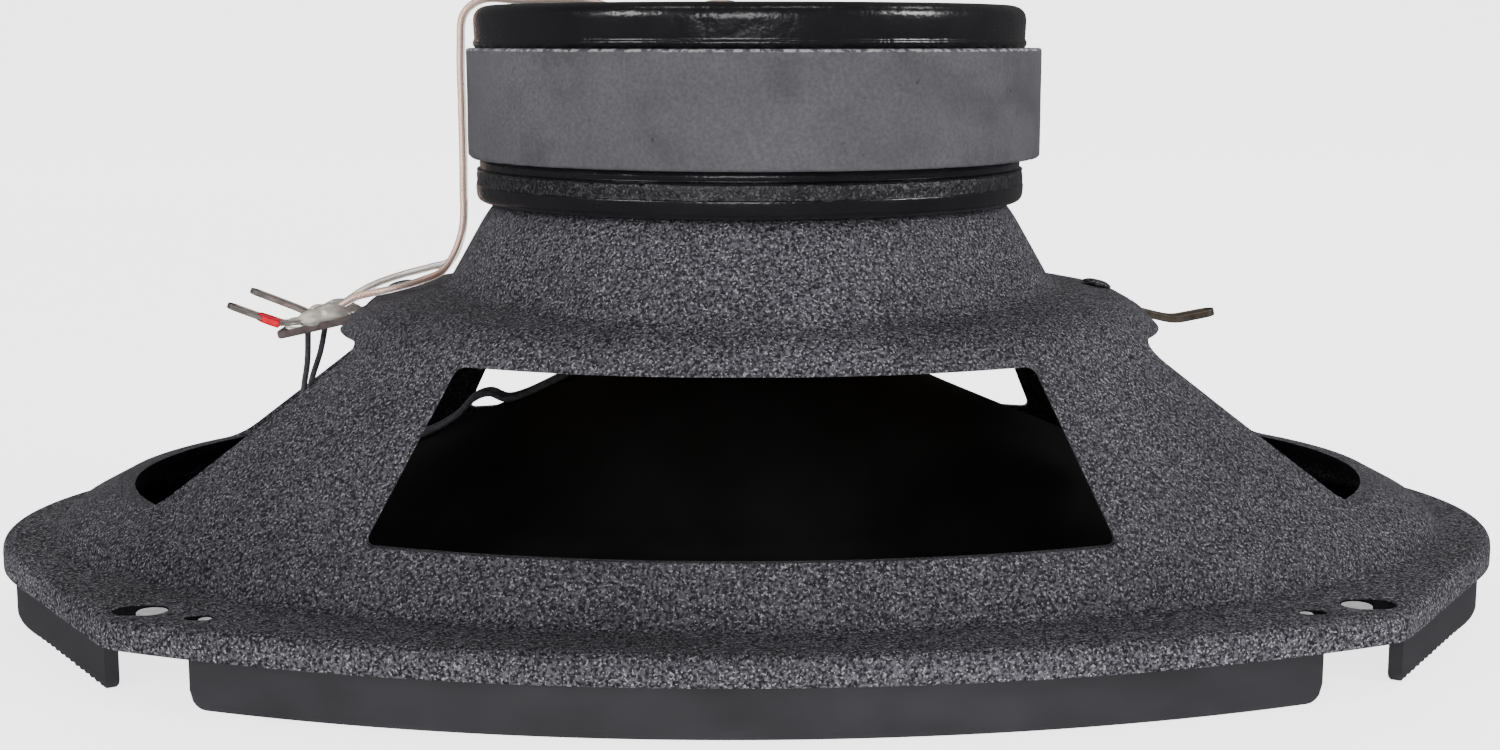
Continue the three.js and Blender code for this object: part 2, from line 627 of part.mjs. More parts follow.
function makeEyelet(side) {
  const t = (-EYELET.x - CONE_APEX.radius) / (CONE_EDGE.a - CONE_APEX.radius);
  const slope = (CONE_APEX.z - CONE_EDGE.z) * CONE_CURVE * t ** (CONE_CURVE - 1);
  const tilt = Math.atan(slope / (CONE_EDGE.a - CONE_APEX.radius));
  const lift = 2 * GAP;
  const geometry = disc(EYELET.radius, lift, lift + EYELET.thickness, SIDES.hole).rotateY(-tilt);
  return geometry.translate(EYELET.x, side * EYELET.y, coneAt(t).z);
}

// ---------------------------------------------------------------- tweeter
function makeStem() {
  return turned(
    [
      [STEM.bore, STEM.bottom],
      [STEM.flange, STEM.bottom],
      [STEM.flange, STEM.bottom + STEM.flangeHeight],
      [STEM.outer, STEM.bottom + STEM.flangeHeight],
      [STEM.outer, STEM.top],
      [STEM.bore, STEM.top],
    ],
    SIDES.stem,
  );
}

function makeNut() {
  const bottom = NUT_POCKET_FLOOR + 2 * GAP + WASHER.thickness;
  const top = bottom + NUT.thickness;
  const hexagon = disc(NUT.across / Math.sqrt(3), bottom, top, SIDES.nut);
  return cut(hexagon, [disc(STEM.outer + GAP, bottom - 1, top + 1, SIDES.stem)]);
}

function makeHousing() {
  const inner = HOUSING.radius - HOUSING.wall;
  const floor = HOUSING.back - HOUSING.wall;
  const edge = 2;
  return turned(
    [
      [STEM.bore, floor],
      [inner, floor],
      [inner, HOUSING.front],
      [HOUSING.radius, HOUSING.front],
      [HOUSING.radius, HOUSING.back - edge],
      [HOUSING.radius - edge, HOUSING.back],
      [STEM.bore, HOUSING.back],
    ],
    SIDES.turned,
  );
}

function makeTweeterFace() {
  const ring = turned(
    [
      [FACE.opening, FACE.front],
      [HOUSING.radius, FACE.front],
      [HOUSING.radius, FACE.back],
      [FACE.collar, FACE.back],
      [FACE.collar, FACE.collarBack],
      [FACE.opening, FACE.collarBack],
    ],
    SIDES.turned,
  );
  const reach = (FACE.opening + FACE.collar) / 2;
  const bar = box([-reach, -FACE.bar / 2, FACE.front], [reach, FACE.bar / 2, FACE.back]);
  const cross = bar.clone().rotateZ(Math.PI / 2);
  const hub = disc(FACE.bar, FACE.front, FACE.back, SIDES.hole);
  return join([ring, bar, cross, hub]);
}

function makeTweeterDome() {
  const steps = 3;
  const sphere = (DOME.radius ** 2 + DOME.rise ** 2) / (2 * DOME.rise);
  const limit = Math.asin(DOME.radius / sphere);
  const skin = (radius) => {
    const points = [];
    for (let i = 0; i <= steps; i++) {
      const angle = (limit * i) / steps;
      points.push([radius * Math.sin(angle), DOME.edge - DOME.rise + sphere - radius * Math.cos(angle)]);
    }
    return points;
  };
  return turned([...skin(sphere), ...skin(sphere - DOME.thickness).reverse()], SIDES.stem);
}

function makeTweeterCup() {
  return turned(
    [
      [TWEETER_CUP.inner, TWEETER_CUP.front],
      [TWEETER_CUP.outer, TWEETER_CUP.front],
      [TWEETER_CUP.outer, TWEETER_CUP.back],
      [0, TWEETER_CUP.back],
      [0, TWEETER_CUP.floor],
      [TWEETER_CUP.inner, TWEETER_CUP.floor],
    ],
    SIDES.turned,
  );
}

// ---------------------------------------------------------------- terminals and leads
function makeBoard() {
  const length = BOARD.tip - BOARD.inner;
  const half = BOARD.width / 2;
  const taper = 2;
  const cornerRadius = 2.5;
  const corners = [[0, -half], [length, -half + taper], [length, half - taper], [0, half]];
  const shape = roundedShape(corners, cornerRadius);
  const options = { depth: BOARD.thickness, bevelEnabled: false, curveSegments: 3 };
  const plate = new THREE.ExtrudeGeometry(shape, options);
  plate.rotateZ(Math.PI).translate(0, 0, -SHEET - BOARD.drop - BOARD.thickness);
  const board = onPlatform(plate, -1, BOARD.inner);
  return cut(board, [rivetHole(-1)]);
}

// A rivet through the platform and what hangs under it. grip is the depth of its lower head.
function makeRivet(side, grip) {
  const crown = RIVET.head * 0.6;
  const outline = [
    [0, GAP + RIVET.headHeight],
    [crown, GAP + RIVET.headHeight],
    [RIVET.head, GAP],
    [RIVET.shank, GAP],
    [RIVET.shank, -grip],
    [RIVET.head, -grip],
    [crown, -grip - RIVET.headHeight],
    [0, -grip - RIVET.headHeight],
  ];
  return onPlatform(turned(outline, SIDES.hole), side, PLATFORM_AT.x);
}

// Height of the board's upper face at a distance from the axis.
function boardTop(x) {
  return platformTop(x) - (SHEET + BOARD.drop) / Math.cos(PLATFORM_TILT);
}

function lugLine({ bend, tip }) {
  const lift = GAP + LUG.thickness / 2;
  const { root, flat } = LUG;
  return [[-root, boardTop(root) + lift], [-flat, boardTop(flat) + lift], bend, tip];
}

// A coat of paint on the upper face of the positive lug.
function makeMark() {
  const { bend, tip } = POSITIVE_LUG;
  const away = LUG.thickness / 2 + GAP + GAP / 2;
  const length = Math.hypot(tip[0] - bend[0], tip[1] - bend[1]);
  const normal = [(tip[1] - bend[1]) / length, (bend[0] - tip[0]) / length];
  const at = (share) => bend.map((v, k) => v + (tip[k] - v) * share + normal[k] * away);
  return strip([at(MARK.from), at(MARK.to)], GAP, LUG.width, -LUG.y);
}

function makeTab() {
  const lift = TAB.thickness / 2 + TAB.drop;
  const under = (x) => platformTop(x) - SHEET / Math.cos(PLATFORM_TILT) - lift;
  const root = [TAB.inner, under(TAB.inner)];
  const notch = [NOTCH_START, under(NOTCH_START)];
  return cut(strip([root, notch, ...TAB.free], TAB.thickness, TAB.width, 0), [rivetHole(1)]);
}

function makeSolder(side) {
  const { x, half } = SOLDER;
  const blob = new THREE.SphereGeometry(1, 10, 6).scale(...half);
  return blob.translate(-x, side * LUG.y, boardTop(x) + GAP + half[2]);
}

// Each lead runs from its lug up the side of the magnet, over the back and down the bore of the stem.
function wireRoute(side, inside) {
  const y = side * WIRE_PAIR;
  return [
    [-62.6, side * LUG.y, boardTop(62.6) + 1.1],
    [-60, side * 3.9, 48.9],
    [-56, side * 3.6, 50.2],
    [-51.5, side * 2.3, 51.6],
    [-47.9, side * 1.1, 53.6],
    [-46.4, y, 58],
    [-46.1, y, 66],
    [-46.1, y, 78],
    [-46.1, y, 87],
    [-45.3, y, 92.5],
    [-42.2, y, 94.5],
    [-36, y, 94.45],
    [-26, y, 94.45],
    [-22.5, y, 93.6],
    [-19, y, 92.7],
    [-10, y, 93],
    [-5, y, 94],
    [-1.6, y, 93.3],
    [-0.2, y, 90],
    [0, y, 80],
    [0, y, 60],
    [0, y, 40],
    [0, y, 24],
    ...inside,
  ];
}

const WIRE_ROUTES = {
  tweeter_wire_positive: wireRoute(-1, [[-0.8, -0.8, 20.2], [-5, -1.4, 18.9], [-11.4, -2, 18.9]]),
  tweeter_wire_negative: wireRoute(1, [[0.8, 0.8, 20.2], [5, 1.4, 18.9], [11.4, 2, 18.9]]),
};

const TINSEL_ROUTES = {
  tinsel_lead_positive: [
    [-70.7, -2, 41.6], [-71.2, -2.3, 37.5], [-71.8, -2.5, 33], [-72.4, -2.3, 26], [-72.6, -2, 19.2],
  ],
  tinsel_lead_negative: [
    [-68.6, 2, 42.1], [-69.6, 2.4, 38.5], [-71.4, 2.6, 33], [-72.2, 2.3, 26], [-72.7, 2, 19.2],
  ],
};

// ---------------------------------------------------------------- assembly
add('basket', makeBasket(), materials.texturedPaint);
add('trim_ring', makeTrimRing(), materials.blackPlastic);
add('front_plate', makeFrontPlate(), materials.glossCoat);
add('ferrite_magnet', tube(MAGNET, SIDES.magnet), materials.ferrite);
add('yoke', makeYoke(), materials.glossCoat);

add('surround', makeSurround(), materials.rubber);
add('spider', makeSpider(), materials.spiderCloth);
add('cone', makeCone(), materials.conePaper);
add('voice_coil_former', tube(FORMER), materials.former);
add('voice_coil', tube(COIL), materials.copper);
add('dust_ring', tube(DUST_RING), materials.rubber);
add('lead_eyelet_positive', makeEyelet(-1), materials.tin);
add('lead_eyelet_negative', makeEyelet(1), materials.tin);

const washerBottom = NUT_POCKET_FLOOR + GAP;
const washer = {
  inner: STEM.outer + GAP,
  outer: WASHER.radius,
  bottom: washerBottom,
  top: washerBottom + WASHER.thickness,
};
add('tweeter_stem', makeStem(), materials.zinc);
add('stem_washer', tube(washer, SIDES.disc), materials.zinc);
add('stem_nut', makeNut(), materials.zinc);
add('tweeter_housing', makeHousing(), materials.blackPlastic);
add('tweeter_face', makeTweeterFace(), materials.blackPlastic);
add('tweeter_cup', makeTweeterCup(), materials.zinc);
add('tweeter_magnet', plug(TWEETER_MAGNET), materials.zinc);
add('tweeter_pole_piece', plug(POLE_PIECE), materials.zinc);
add('tweeter_dome', makeTweeterDome(), materials.silk);
add('tweeter_coil', tube(TWEETER_COIL), materials.copper);
add('tweeter_surround', tube(TWEETER_SURROUND), materials.silk);
add(
  'crossover_capacitor',
  disc(CAPACITOR.radius, CAPACITOR.bottom, CAPACITOR.top, SIDES.disc).translate(CAPACITOR.x, 0, 0),
  materials.capacitorSleeve,
);

add('terminal_board', makeBoard(), materials.fibreBoard);
add('terminal_rivet', makeRivet(-1, SHEET + BOARD.drop + BOARD.thickness + GAP), materials.zinc);
add('positive_lug', strip(lugLine(POSITIVE_LUG), LUG.thickness, LUG.width, -LUG.y), materials.tin);
add('negative_lug', strip(lugLine(NEGATIVE_LUG), LUG.thickness, LUG.width, LUG.y), materials.tin);
add('polarity_mark', makeMark(), materials.redPaint);
add('solder_joint_positive', makeSolder(-1), materials.tin);
add('solder_joint_negative', makeSolder(1), materials.tin);
add('anchor_tab', makeTab(), materials.bareSteel);
add('anchor_rivet', makeRivet(1, SHEET + TAB.drop + TAB.thickness + GAP), materials.zinc);

const wireMaterials = {
  tweeter_wire_positive: materials.copperWire,
  tweeter_wire_negative: materials.tinnedWire,
};
for (const [name, route] of Object.entries(WIRE_ROUTES)) {
  add(name, wire(route, WIRE_DIAMETER, STEPS.wire), wireMaterials[name]);
}
for (const [name, route] of Object.entries(TINSEL_ROUTES)) {
  add(name, wire(route, TINSEL_DIAMETER, STEPS.tinsel), materials.tinsel);
}

export default speaker;
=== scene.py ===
"""Looks of an oval coaxial car speaker that lies face down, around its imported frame.

Shapes are worked out in millimetres and scaled to metres where each mesh is made.
"""

import math

import bmesh
import bpy
import numpy as np
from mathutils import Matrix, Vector, noise


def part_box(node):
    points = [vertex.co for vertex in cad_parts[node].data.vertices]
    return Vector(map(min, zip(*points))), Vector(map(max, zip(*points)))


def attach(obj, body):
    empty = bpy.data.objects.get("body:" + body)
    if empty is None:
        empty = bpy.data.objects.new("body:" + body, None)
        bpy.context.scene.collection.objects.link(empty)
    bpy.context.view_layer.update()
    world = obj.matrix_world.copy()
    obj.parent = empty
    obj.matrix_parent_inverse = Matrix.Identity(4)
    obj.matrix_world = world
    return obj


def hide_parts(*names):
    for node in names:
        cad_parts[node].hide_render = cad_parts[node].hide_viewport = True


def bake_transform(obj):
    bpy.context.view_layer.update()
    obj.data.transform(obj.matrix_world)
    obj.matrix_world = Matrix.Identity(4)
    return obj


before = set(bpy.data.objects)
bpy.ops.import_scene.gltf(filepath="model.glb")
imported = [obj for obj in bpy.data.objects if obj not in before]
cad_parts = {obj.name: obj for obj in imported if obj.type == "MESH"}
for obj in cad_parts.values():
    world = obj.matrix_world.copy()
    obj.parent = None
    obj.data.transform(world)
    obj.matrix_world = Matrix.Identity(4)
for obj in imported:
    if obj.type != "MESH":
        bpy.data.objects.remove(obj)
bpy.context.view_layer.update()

MM = 0.001
TURN = 2 * math.pi
FRAME_BODY = "frame"
CONE_BODY = "cone_assembly"
DOME_BODY = "tweeter_diaphragm"


def box_mm(node):
    """A node's lowest and highest corners in millimetres."""
    low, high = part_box(node)
    return np.array(low) / MM, np.array(high) / MM


# ---- driving dimensions
BASKET_LOW, BASKET_HIGH = box_mm("basket")
MAGNET_LOW, MAGNET_HIGH = box_mm("ferrite_magnet")
PLATE_LOW, PLATE_HIGH = box_mm("front_plate")
YOKE_LOW, YOKE_HIGH = box_mm("yoke")
HALF_LENGTH = BASKET_HIGH[0]
HALF_WIDTH = BASKET_HIGH[1]
NECK_TOP = BASKET_HIGH[2]
RIM_BOTTOM = BASKET_LOW[2]
LONG_ARC_RADIUS = 211.0
END_ARC_RADIUS = 51.0
CORNER_X = 88.0
CORNER_RADIUS = 3.0
FLANGE_TOP = 11.66
SHEET = 1.3
SEAM = 0.3  # air that the frame leaves between pieces that touch

# Corners (across, z) of the windows. Those of the front and the rear lie off centre.
FRONT_WINDOW = [(-54.0, 19.8), (49.4, 19.8), (39.2, 42.8), (-42.0, 42.8)]
REAR_WINDOW = [(-52.0, 19.8), (54.0, 19.8), (43.6, 42.8), (-40.8, 42.8)]
END_WINDOW = [(-30.6, 19.4), (30.6, 19.4), (24.8, 43.6), (-24.8, 43.6)]
LONG_WINDOW_CORNER = 1.6
END_WINDOW_CORNER = 2.5
RIM_ROLL = 1.9
SLOT = dict(x=84.0, y=58.0, length=7.7, width=5.5)
SMALL_SLOT = dict(x=75.2, y=62.0, length=4.0, width=2.5)

WALL_INSET = 1.7
WALL_THICKNESS = 2.0
FRONT_WALL_HALF = 77.6
END_WALL_HALF = 57.0
TRIM_PLATE = (7.6, 8.9)
TRIM_OPENING = (107.5, 69.5)
TOOTH_TOP = 1.3  # the walls are even above this height

CONE_APEX_RADIUS = 13.2
CONE_APEX_Z = 42.3
CONE_EDGE = (92.0, 54.0)
CONE_EDGE_Z = 9.5
CONE_CURVE = 0.9
CONE_THICKNESS = 0.8
CONE_SQUARENESS = 2.15
ROLL_OUTER = (104.5, 66.5)
ROLL_HEIGHT = 4.2
SURROUND_LIP = (112.5, 74.5)
SURROUND_BOTTOM = 9.2
SURROUND_THICKNESS = 0.8

MAGNET_OFFSET = 0.65  # the magnet is glued a little off the axis

PLATFORM_SLOPE = 0.233
PLATFORM_TILT = math.atan(PLATFORM_SLOPE)
PLATFORM_X = 56.0
PLATFORM_Z = 49.18
NOTCH_START = 59.6
LUG_Y = 4.0
BOARD_DROP = 0.9  # between the platform's underside and the board
BOARD_THICKNESS = 1.2
EYELET_X = 72.5

# ---- camera, floor and light
CAMERA_AT = Vector((-6.45, -338.9, 88.3)) * MM
CAMERA_PITCH = math.radians(9.0)
CAMERA_YAW = math.radians(1.1)
CAMERA_LENS = 50.8
TABLE_GLOW = 2.6
WORLD_GLOW = 0.12
LIGHT_TARGET = (0, 0, 0.04)
# Name, place, size and power of each lamp, and whether gloss shows it
LIGHTS = [
    ("front", (-0.15, -1.5, 0.55), (0.7, 0.5), 8.2, True),
    ("key_left", (-0.8, -0.6, 0.6), (0.3, 0.3), 3.4, True),
    ("key_right", (0.95, -0.3, 0.6), (0.3, 0.3), 6, True),
    ("side_left", (-1.1, -0.75, 0.16), (0.3, 0.3), 6.5, False),
    ("side_right", (1.1, -0.75, 0.16), (0.3, 0.3), 7.5, False),
    ("top_left", (-0.37, -0.1, 1.25), (0.3, 0.12), 0.65, True),
    ("top_middle", (0.19, -0.17, 1.28), (0.3, 0.12), 0.65, True),
    ("top_right", (0.69, 0.28, 1.05), (0.3, 0.12), 0.65, True),
]


def add_object(name, data):
    made = bpy.data.objects.new(name, data)
    bpy.context.scene.collection.objects.link(made)
    return made


def make_camera():
    data = bpy.data.cameras.new("camera")
    data.lens = CAMERA_LENS
    data.sensor_width = 36.0
    data.clip_start = 0.01
    data.clip_end = 50.0
    camera = add_object("camera", data)
    camera.location = CAMERA_AT
    camera.rotation_euler = (math.pi / 2 - CAMERA_PITCH, 0, -CAMERA_YAW)
    bpy.context.scene.camera = camera


def make_area_light(name, location, size, power, in_gloss):
    data = bpy.data.lights.new(name, "AREA")
    data.shape = "RECTANGLE"
    data.size, data.size_y = size
    data.energy = power
    light = add_object(name, data)
    light.location = location
    direction = Vector(LIGHT_TARGET) - Vector(location)
    light.rotation_euler = direction.to_track_quat("-Z", "Y").to_euler()
    light.visible_glossy = in_gloss


def make_stage():
    world = bpy.data.worlds.new("studio")
    world.use_nodes = True
    background = world.node_tree.nodes["Background"]
    background.inputs["Color"].default_value = (1.0, 1.0, 1.0, 1.0)
    background.inputs["Strength"].default_value = WORLD_GLOW
    bpy.context.scene.world = world

    half, depth, bend, height = 4.0, 2.2, 1.2, 3.0
    line = [(-depth, 0.0), (depth - bend, 0.0)]
    for i in range(1, 25):
        angle = math.pi / 2 * i / 24
        line.append((depth - bend + bend * math.sin(angle), bend - bend * math.cos(angle)))
    line.append((depth, height))
    mesh = bpy.data.meshes.new("floor")
    corners = [(x, y, z) for y, z in line for x in (-half, half)]
    mesh.from_pydata(corners, [], [(2 * i, 2 * i + 1, 2 * i + 3, 2 * i + 2) for i in range(len(line) - 1)])
    mesh.shade_smooth()
    floor = add_object("floor", mesh)
    paper = bpy.data.materials.new("lit_table")
    paper.use_nodes = True
    shader = paper.node_tree.nodes["Principled BSDF"]
    shader.inputs["Base Color"].default_value = (0.9, 0.9, 0.9, 1)
    shader.inputs["Roughness"].default_value = 0.9
    shader.inputs["Emission Color"].default_value = (1, 1, 1, 1)
    shader.inputs["Emission Strength"].default_value = TABLE_GLOW
    mesh.materials.append(paper)
    floor.visible_glossy = False  # gloss shows the lamps and a dark room, not the lit table

    for light in LIGHTS:
        make_area_light(*light)


# ---- materials
class Shader:
    """A material with a Principled shader and short calls for the nodes that feed it."""

    def __init__(self, name, color, roughness, metallic=0.0, gloss=0.5):
        self.material = bpy.data.materials.new(name)
        self.material.use_nodes = True
        self.tree = self.material.node_tree
        self.shader = self.tree.nodes["Principled BSDF"]
        self.set("Base Color", (*color, 1.0))
        self.set("Roughness", roughness)
        self.set("Metallic", metallic)
        self.set("Specular IOR Level", gloss)
        self.coords = self.tree.nodes.new("ShaderNodeTexCoord").outputs["Object"]

    def set(self, socket, value):
        self.shader.inputs[socket].default_value = value

    def link(self, output, socket):
        self.tree.links.new(output, socket)

    def node(self, kind, **values):
        """A new node. Each value is a constant, or the output that feeds the socket of that name."""
        node = self.tree.nodes.new("ShaderNode" + kind)
        for name, value in values.items():
            socket = node.inputs[name.replace("_", " ")]
            if isinstance(value, bpy.types.NodeSocket):
                self.link(value, socket)
            else:
                socket.default_value = value
        return node

    def noise(self, size_mm, detail=2.0, roughness=0.5, stretch=(1, 1, 1)):
        place = self.node("Mapping", Scale=stretch, Vector=self.coords).outputs["Vector"]
        scale = 1 / (size_mm * MM)
        node = self.node("TexNoise", Scale=scale, Detail=detail, Roughness=roughness, Vector=place)
        return node.outputs["Fac"]

    def height(self, low, high):
        """A factor that rises from 0 to 1 between two heights, in metres."""
        z = self.node("SeparateXYZ", Vector=self.coords).outputs["Z"]
        return self.node("MapRange", From_Min=low, From_Max=high, Value=z).outputs["Result"]

    def ramp(self, factor, stops):
        node = self.node("ValToRGB", Fac=factor)
        ramp = node.color_ramp
        while len(ramp.elements) < len(stops):
            ramp.elements.new(0.5)
        for element, (position, color) in zip(ramp.elements, stops):
            element.position = position
            element.color = (*color, 1.0) if isinstance(color, tuple) else (color, color, color, 1.0)
        return node.outputs["Color"]

    def mix(self, factor, first, second, kind="MIX"):
        node = self.tree.nodes.new("ShaderNodeMix")
        node.data_type = "RGBA"
        node.blend_type = kind
        for value, socket in ((factor, 0), (first, 6), (second, 7)):
            if isinstance(value, (int, float)):
                node.inputs[socket].default_value = value
            elif isinstance(value, tuple):
                node.inputs[socket].default_value = (*value, 1.0)
            else:
                self.link(value, node.inputs[socket])
        return node.outputs[2]

    def times(self, first, second):
        return self.mix(1.0, first, second, "MULTIPLY")

    def spread(self, factor, low, high):
        return self.node("MapRange", To_Min=low, To_Max=high, Value=factor).outputs["Result"]

    def bump(self, height, depth_mm, strength=1.0, **under):
        """A normal from a height. Normal=... is the bump beneath it."""
        node = self.node("Bump", Strength=strength, Distance=depth_mm * MM, Height=height, **under)
        return node.outputs["Normal"]

    def feed(self, **sockets):
        for name, output in sockets.items():
            self.link(output, self.shader.inputs[name.replace("_", " ")])
        return self.material


def textured_paint():
    """Charcoal powder paint with a coarse sandy grain, and glints of light off the grain painted into its
    colour as bright specks.
    """
    s = Shader("textured_paint", (0.03, 0.029, 0.033), 0.6, gloss=0.12)
    grain = s.noise(0.46, detail=1.5, roughness=0.6)
    fine = s.noise(0.36, detail=1)
    dark, middle, pale = (0.009, 0.0086, 0.0107), (0.029, 0.028, 0.0333), (0.066, 0.064, 0.0733)
    # The grain's tones are its own colour; their pale end also paints part of the sparkle of light off the
    # grains.
    tone = s.ramp(grain, [(0.38, dark), (0.5, middle), (0.62, pale)])
    # Painted highlights: where the fine noise peaks the colour turns pale, standing in for light glinting
    # off the grains.
    painted_glints = s.ramp(fine, [(0.6, 0.0), (0.68, 1.0)])
    patches = s.noise(30, detail=2)
    shade = s.ramp(patches, [(0.3, 0.85), (0.7, 1.15)])
    color = s.times(s.mix(painted_glints, tone, (0.17, 0.167, 0.18)), shade)
    normal = s.bump(grain, 0.22, 0.7)
    return s.feed(Base_Color=color, Roughness=s.spread(grain, 0.5, 0.7), Normal=normal)


def two_tone(name, tones, cloud, grain, rough, relief, gloss=0.5, metallic=0.0):
    """Two close tones in soft patches over a fine grain. relief is the grain's depth in mm and strength."""
    s = Shader(name, tones[1], rough[0], metallic, gloss)
    patches = s.noise(**cloud)
    return s.feed(
        Base_Color=s.ramp(patches, [(0.3, tones[0]), (0.7, tones[1])]),
        Roughness=s.spread(patches, *rough),
        Normal=s.bump(s.noise(**grain), *relief),
    )


def black_plastic():
    """Satin moulded plastic with faint flow marks."""
    tones = ((0.0165, 0.016, 0.0188), (0.0235, 0.0227, 0.0265))
    flow = dict(size_mm=14, detail=3, stretch=(1, 1, 2))
    grain = dict(size_mm=0.35, detail=2)
    return two_tone("black_plastic", tones, flow, grain, (0.42, 0.55), (0.02, 0.35), gloss=0.3)


def gloss_coat():
    """Thick black dip paint with orange peel."""
    s = Shader("gloss_coat", (0.004, 0.0038, 0.0048), 0.2, gloss=0.55)
    peel = s.noise(2.2, detail=2, roughness=0.6)
    fine = s.noise(0.5, detail=1)
    color = s.ramp(s.noise(12), [(0.3, (0.0032, 0.003, 0.0038)), (0.7, (0.0055, 0.0052, 0.0064))])
    normal = s.bump(peel, 0.2, 0.8)
    normal = s.bump(fine, 0.04, 0.5, Normal=normal)
    return s.feed(Base_Color=color, Roughness=s.spread(peel, 0.16, 0.32), Normal=normal)


def rough_coat():
    """The same dip paint over the torn band that the press leaves on a punched edge."""
    s = Shader("rough_coat", (0.005, 0.0048, 0.006), 0.3, gloss=0.5)
    tear = s.noise(1.0, detail=4, roughness=0.7)
    fine = s.noise(0.35, detail=2)
    color = s.ramp(fine, [(0.5, (0.004, 0.0038, 0.0048)), (0.72, (0.045, 0.0435, 0.05))])
    return s.feed(Base_Color=color, Roughness=s.spread(tear, 0.22, 0.45), Normal=s.bump(tear, 0.3, 0.8))


def ferrite():
    """Ground ceramic magnet: mid grey, with smudges, pits and a pale chipped line along its upper edge."""
    s = Shader("ferrite", (0.05, 0.049, 0.054), 0.6, gloss=0.25)
    clouds = s.noise(22, detail=4, roughness=0.6)
    smudges = s.noise(11, detail=3, stretch=(1, 1, 1.6))
    pits = s.noise(0.9, detail=3, roughness=0.7)
    specks = s.noise(1.6, detail=2)
    base = s.ramp(clouds, [(0.3, (0.044, 0.0432, 0.0485)), (0.72, (0.058, 0.057, 0.0635))])
    smudge = s.ramp(smudges, [(0.3, 0.8), (0.5, 1.0)])
    dark = s.ramp(specks, [(0.22, 0.45), (0.3, 1.0)])
    color = s.times(s.times(base, smudge), dark)
    edge = s.height((MAGNET_HIGH[2] - 0.35) * MM, (MAGNET_HIGH[2] - 0.15) * MM)
    broken = s.ramp(s.noise(1.3, detail=3, roughness=0.7), [(0.47, 0.0), (0.56, 1.0)])
    color = s.mix(s.times(edge, broken), color, (0.22, 0.22, 0.23))
    color = s.times(color, s.ramp(s.noise(0.5, detail=2), [(0.35, 0.86), (0.65, 1.14)]))
    normal = s.bump(pits, 0.07, 0.5)
    return s.feed(Base_Color=color, Roughness=s.spread(smudges, 0.5, 0.7), Normal=normal)


def cone_paper():
    """Black coated pulp with short fibres."""
    tones = ((0.002, 0.002, 0.0023), (0.0042, 0.0042, 0.005))
    cloud = dict(size_mm=14, detail=2)
    fibre = dict(size_mm=0.8, detail=4, roughness=0.7)
    return two_tone("cone_paper", tones, cloud, fibre, (0.45, 0.62), (0.05, 0.5), gloss=0.15)


def surround_rubber():
    s = Shader("surround_rubber", (0.005, 0.005, 0.0055), 0.6, gloss=0.2)
    skin = s.noise(0.5, detail=3)
    cloud = s.noise(10, detail=2)
    color = s.ramp(cloud, [(0.3, (0.004, 0.004, 0.0046)), (0.7, (0.008, 0.008, 0.009))])
    return s.feed(
        Base_Color=color,
        Roughness=s.spread(skin, 0.5, 0.68),
        Normal=s.bump(skin, 0.03, 0.4),
    )


WAVE_SCALE = 3.18  # a wave texture's scale times its period


def cloth(name, dark, light, thread_mm, roughness):
    """Plain weave: two crossed sets of threads."""
    s = Shader(name, light, roughness)
    waves = []
    for direction in ("X", "Y"):
        scale = 1 / (thread_mm * MM * WAVE_SCALE)
        node = s.node("TexWave", Scale=scale, Distortion=0.6, Vector=s.coords)
        node.bands_direction = direction
        waves.append(node.outputs["Color"])
    weave = s.times(*waves)
    cloud = s.noise(6, detail=2)
    color = s.mix(weave, dark, light)
    color = s.times(color, s.ramp(cloud, [(0.3, 0.85), (0.7, 1.1)]))
    return s.feed(Base_Color=color, Normal=s.bump(weave, 0.08, 0.7))


def bare_metal(name, dark, light, roughness):
    """Plated or bare metal with fine scratches and dull patches."""
    patches = dict(size_mm=2.2, detail=3, roughness=0.6)
    scratches = dict(size_mm=0.5, detail=2, stretch=(0.25, 1, 1))
    rough = (roughness - 0.08, roughness + 0.18)
    return two_tone(name, (dark, light), patches, scratches, rough, (0.02, 0.5), metallic=1.0)


def plain(name, dark, light, roughness, size_mm=1.5, depth_mm=0.03, gloss=0.3):
    """Painted, moulded or pressed stuff."""
    cloud = dict(size_mm=size_mm, detail=3)
    grain = dict(size_mm=size_mm / 4, detail=2)
    rough = (roughness - 0.06, roughness + 0.08)
    return two_tone(name, (dark, light), cloud, grain, rough, (depth_mm, 0.5), gloss)


def clear_skin(name, tint, roughness, transmission):
    """Clear PVC or glue, a little cloudy."""
    s = Shader(name, tint, roughness)
    s.set("Transmission Weight", transmission)
    s.set("IOR", 1.45)
    cloud = s.noise(2.0, detail=2)
    warm = tuple(c * k for c, k in zip(tint, (1.0, 0.96, 0.86)))
    color = s.ramp(cloud, [(0.35, tint), (0.7, warm)])
    return s.feed(Base_Color=color, Normal=s.bump(s.noise(0.8), 0.03, 0.4))


# ---- mesh helpers
def joined_mesh(name, parts):
    """One mesh from a list of (vertices in mm, faces)."""
    vertices = []
    faces = []
    for points, polygons in parts:
        start = len(vertices)
        vertices.extend(tuple(float(c) * MM for c in p) for p in points)
        faces.extend(tuple(i + start for i in f) for f in polygons)
    mesh = bpy.data.meshes.new(name)
    mesh.from_pydata(vertices, [], faces)
    return mesh


def face_outwards(mesh, merge_mm=0.0):
    """Turns all faces outwards, after merging points that lie closer than merge_mm."""
    bm = bmesh.new()
    bm.from_mesh(mesh)
    if merge_mm:
        bmesh.ops.remove_doubles(bm, verts=bm.verts, dist=merge_mm * MM)
    bmesh.ops.recalc_face_normals(bm, faces=bm.faces)
    bm.to_mesh(mesh)
    bm.free()


def make_piece(name, parts, material, body, nodes=(), sharp=38.0):
    """One mesh object made from parts, riding on a body and replacing CAD nodes."""
    return finish_piece(name, joined_mesh(name, parts), material, body, nodes, sharp)


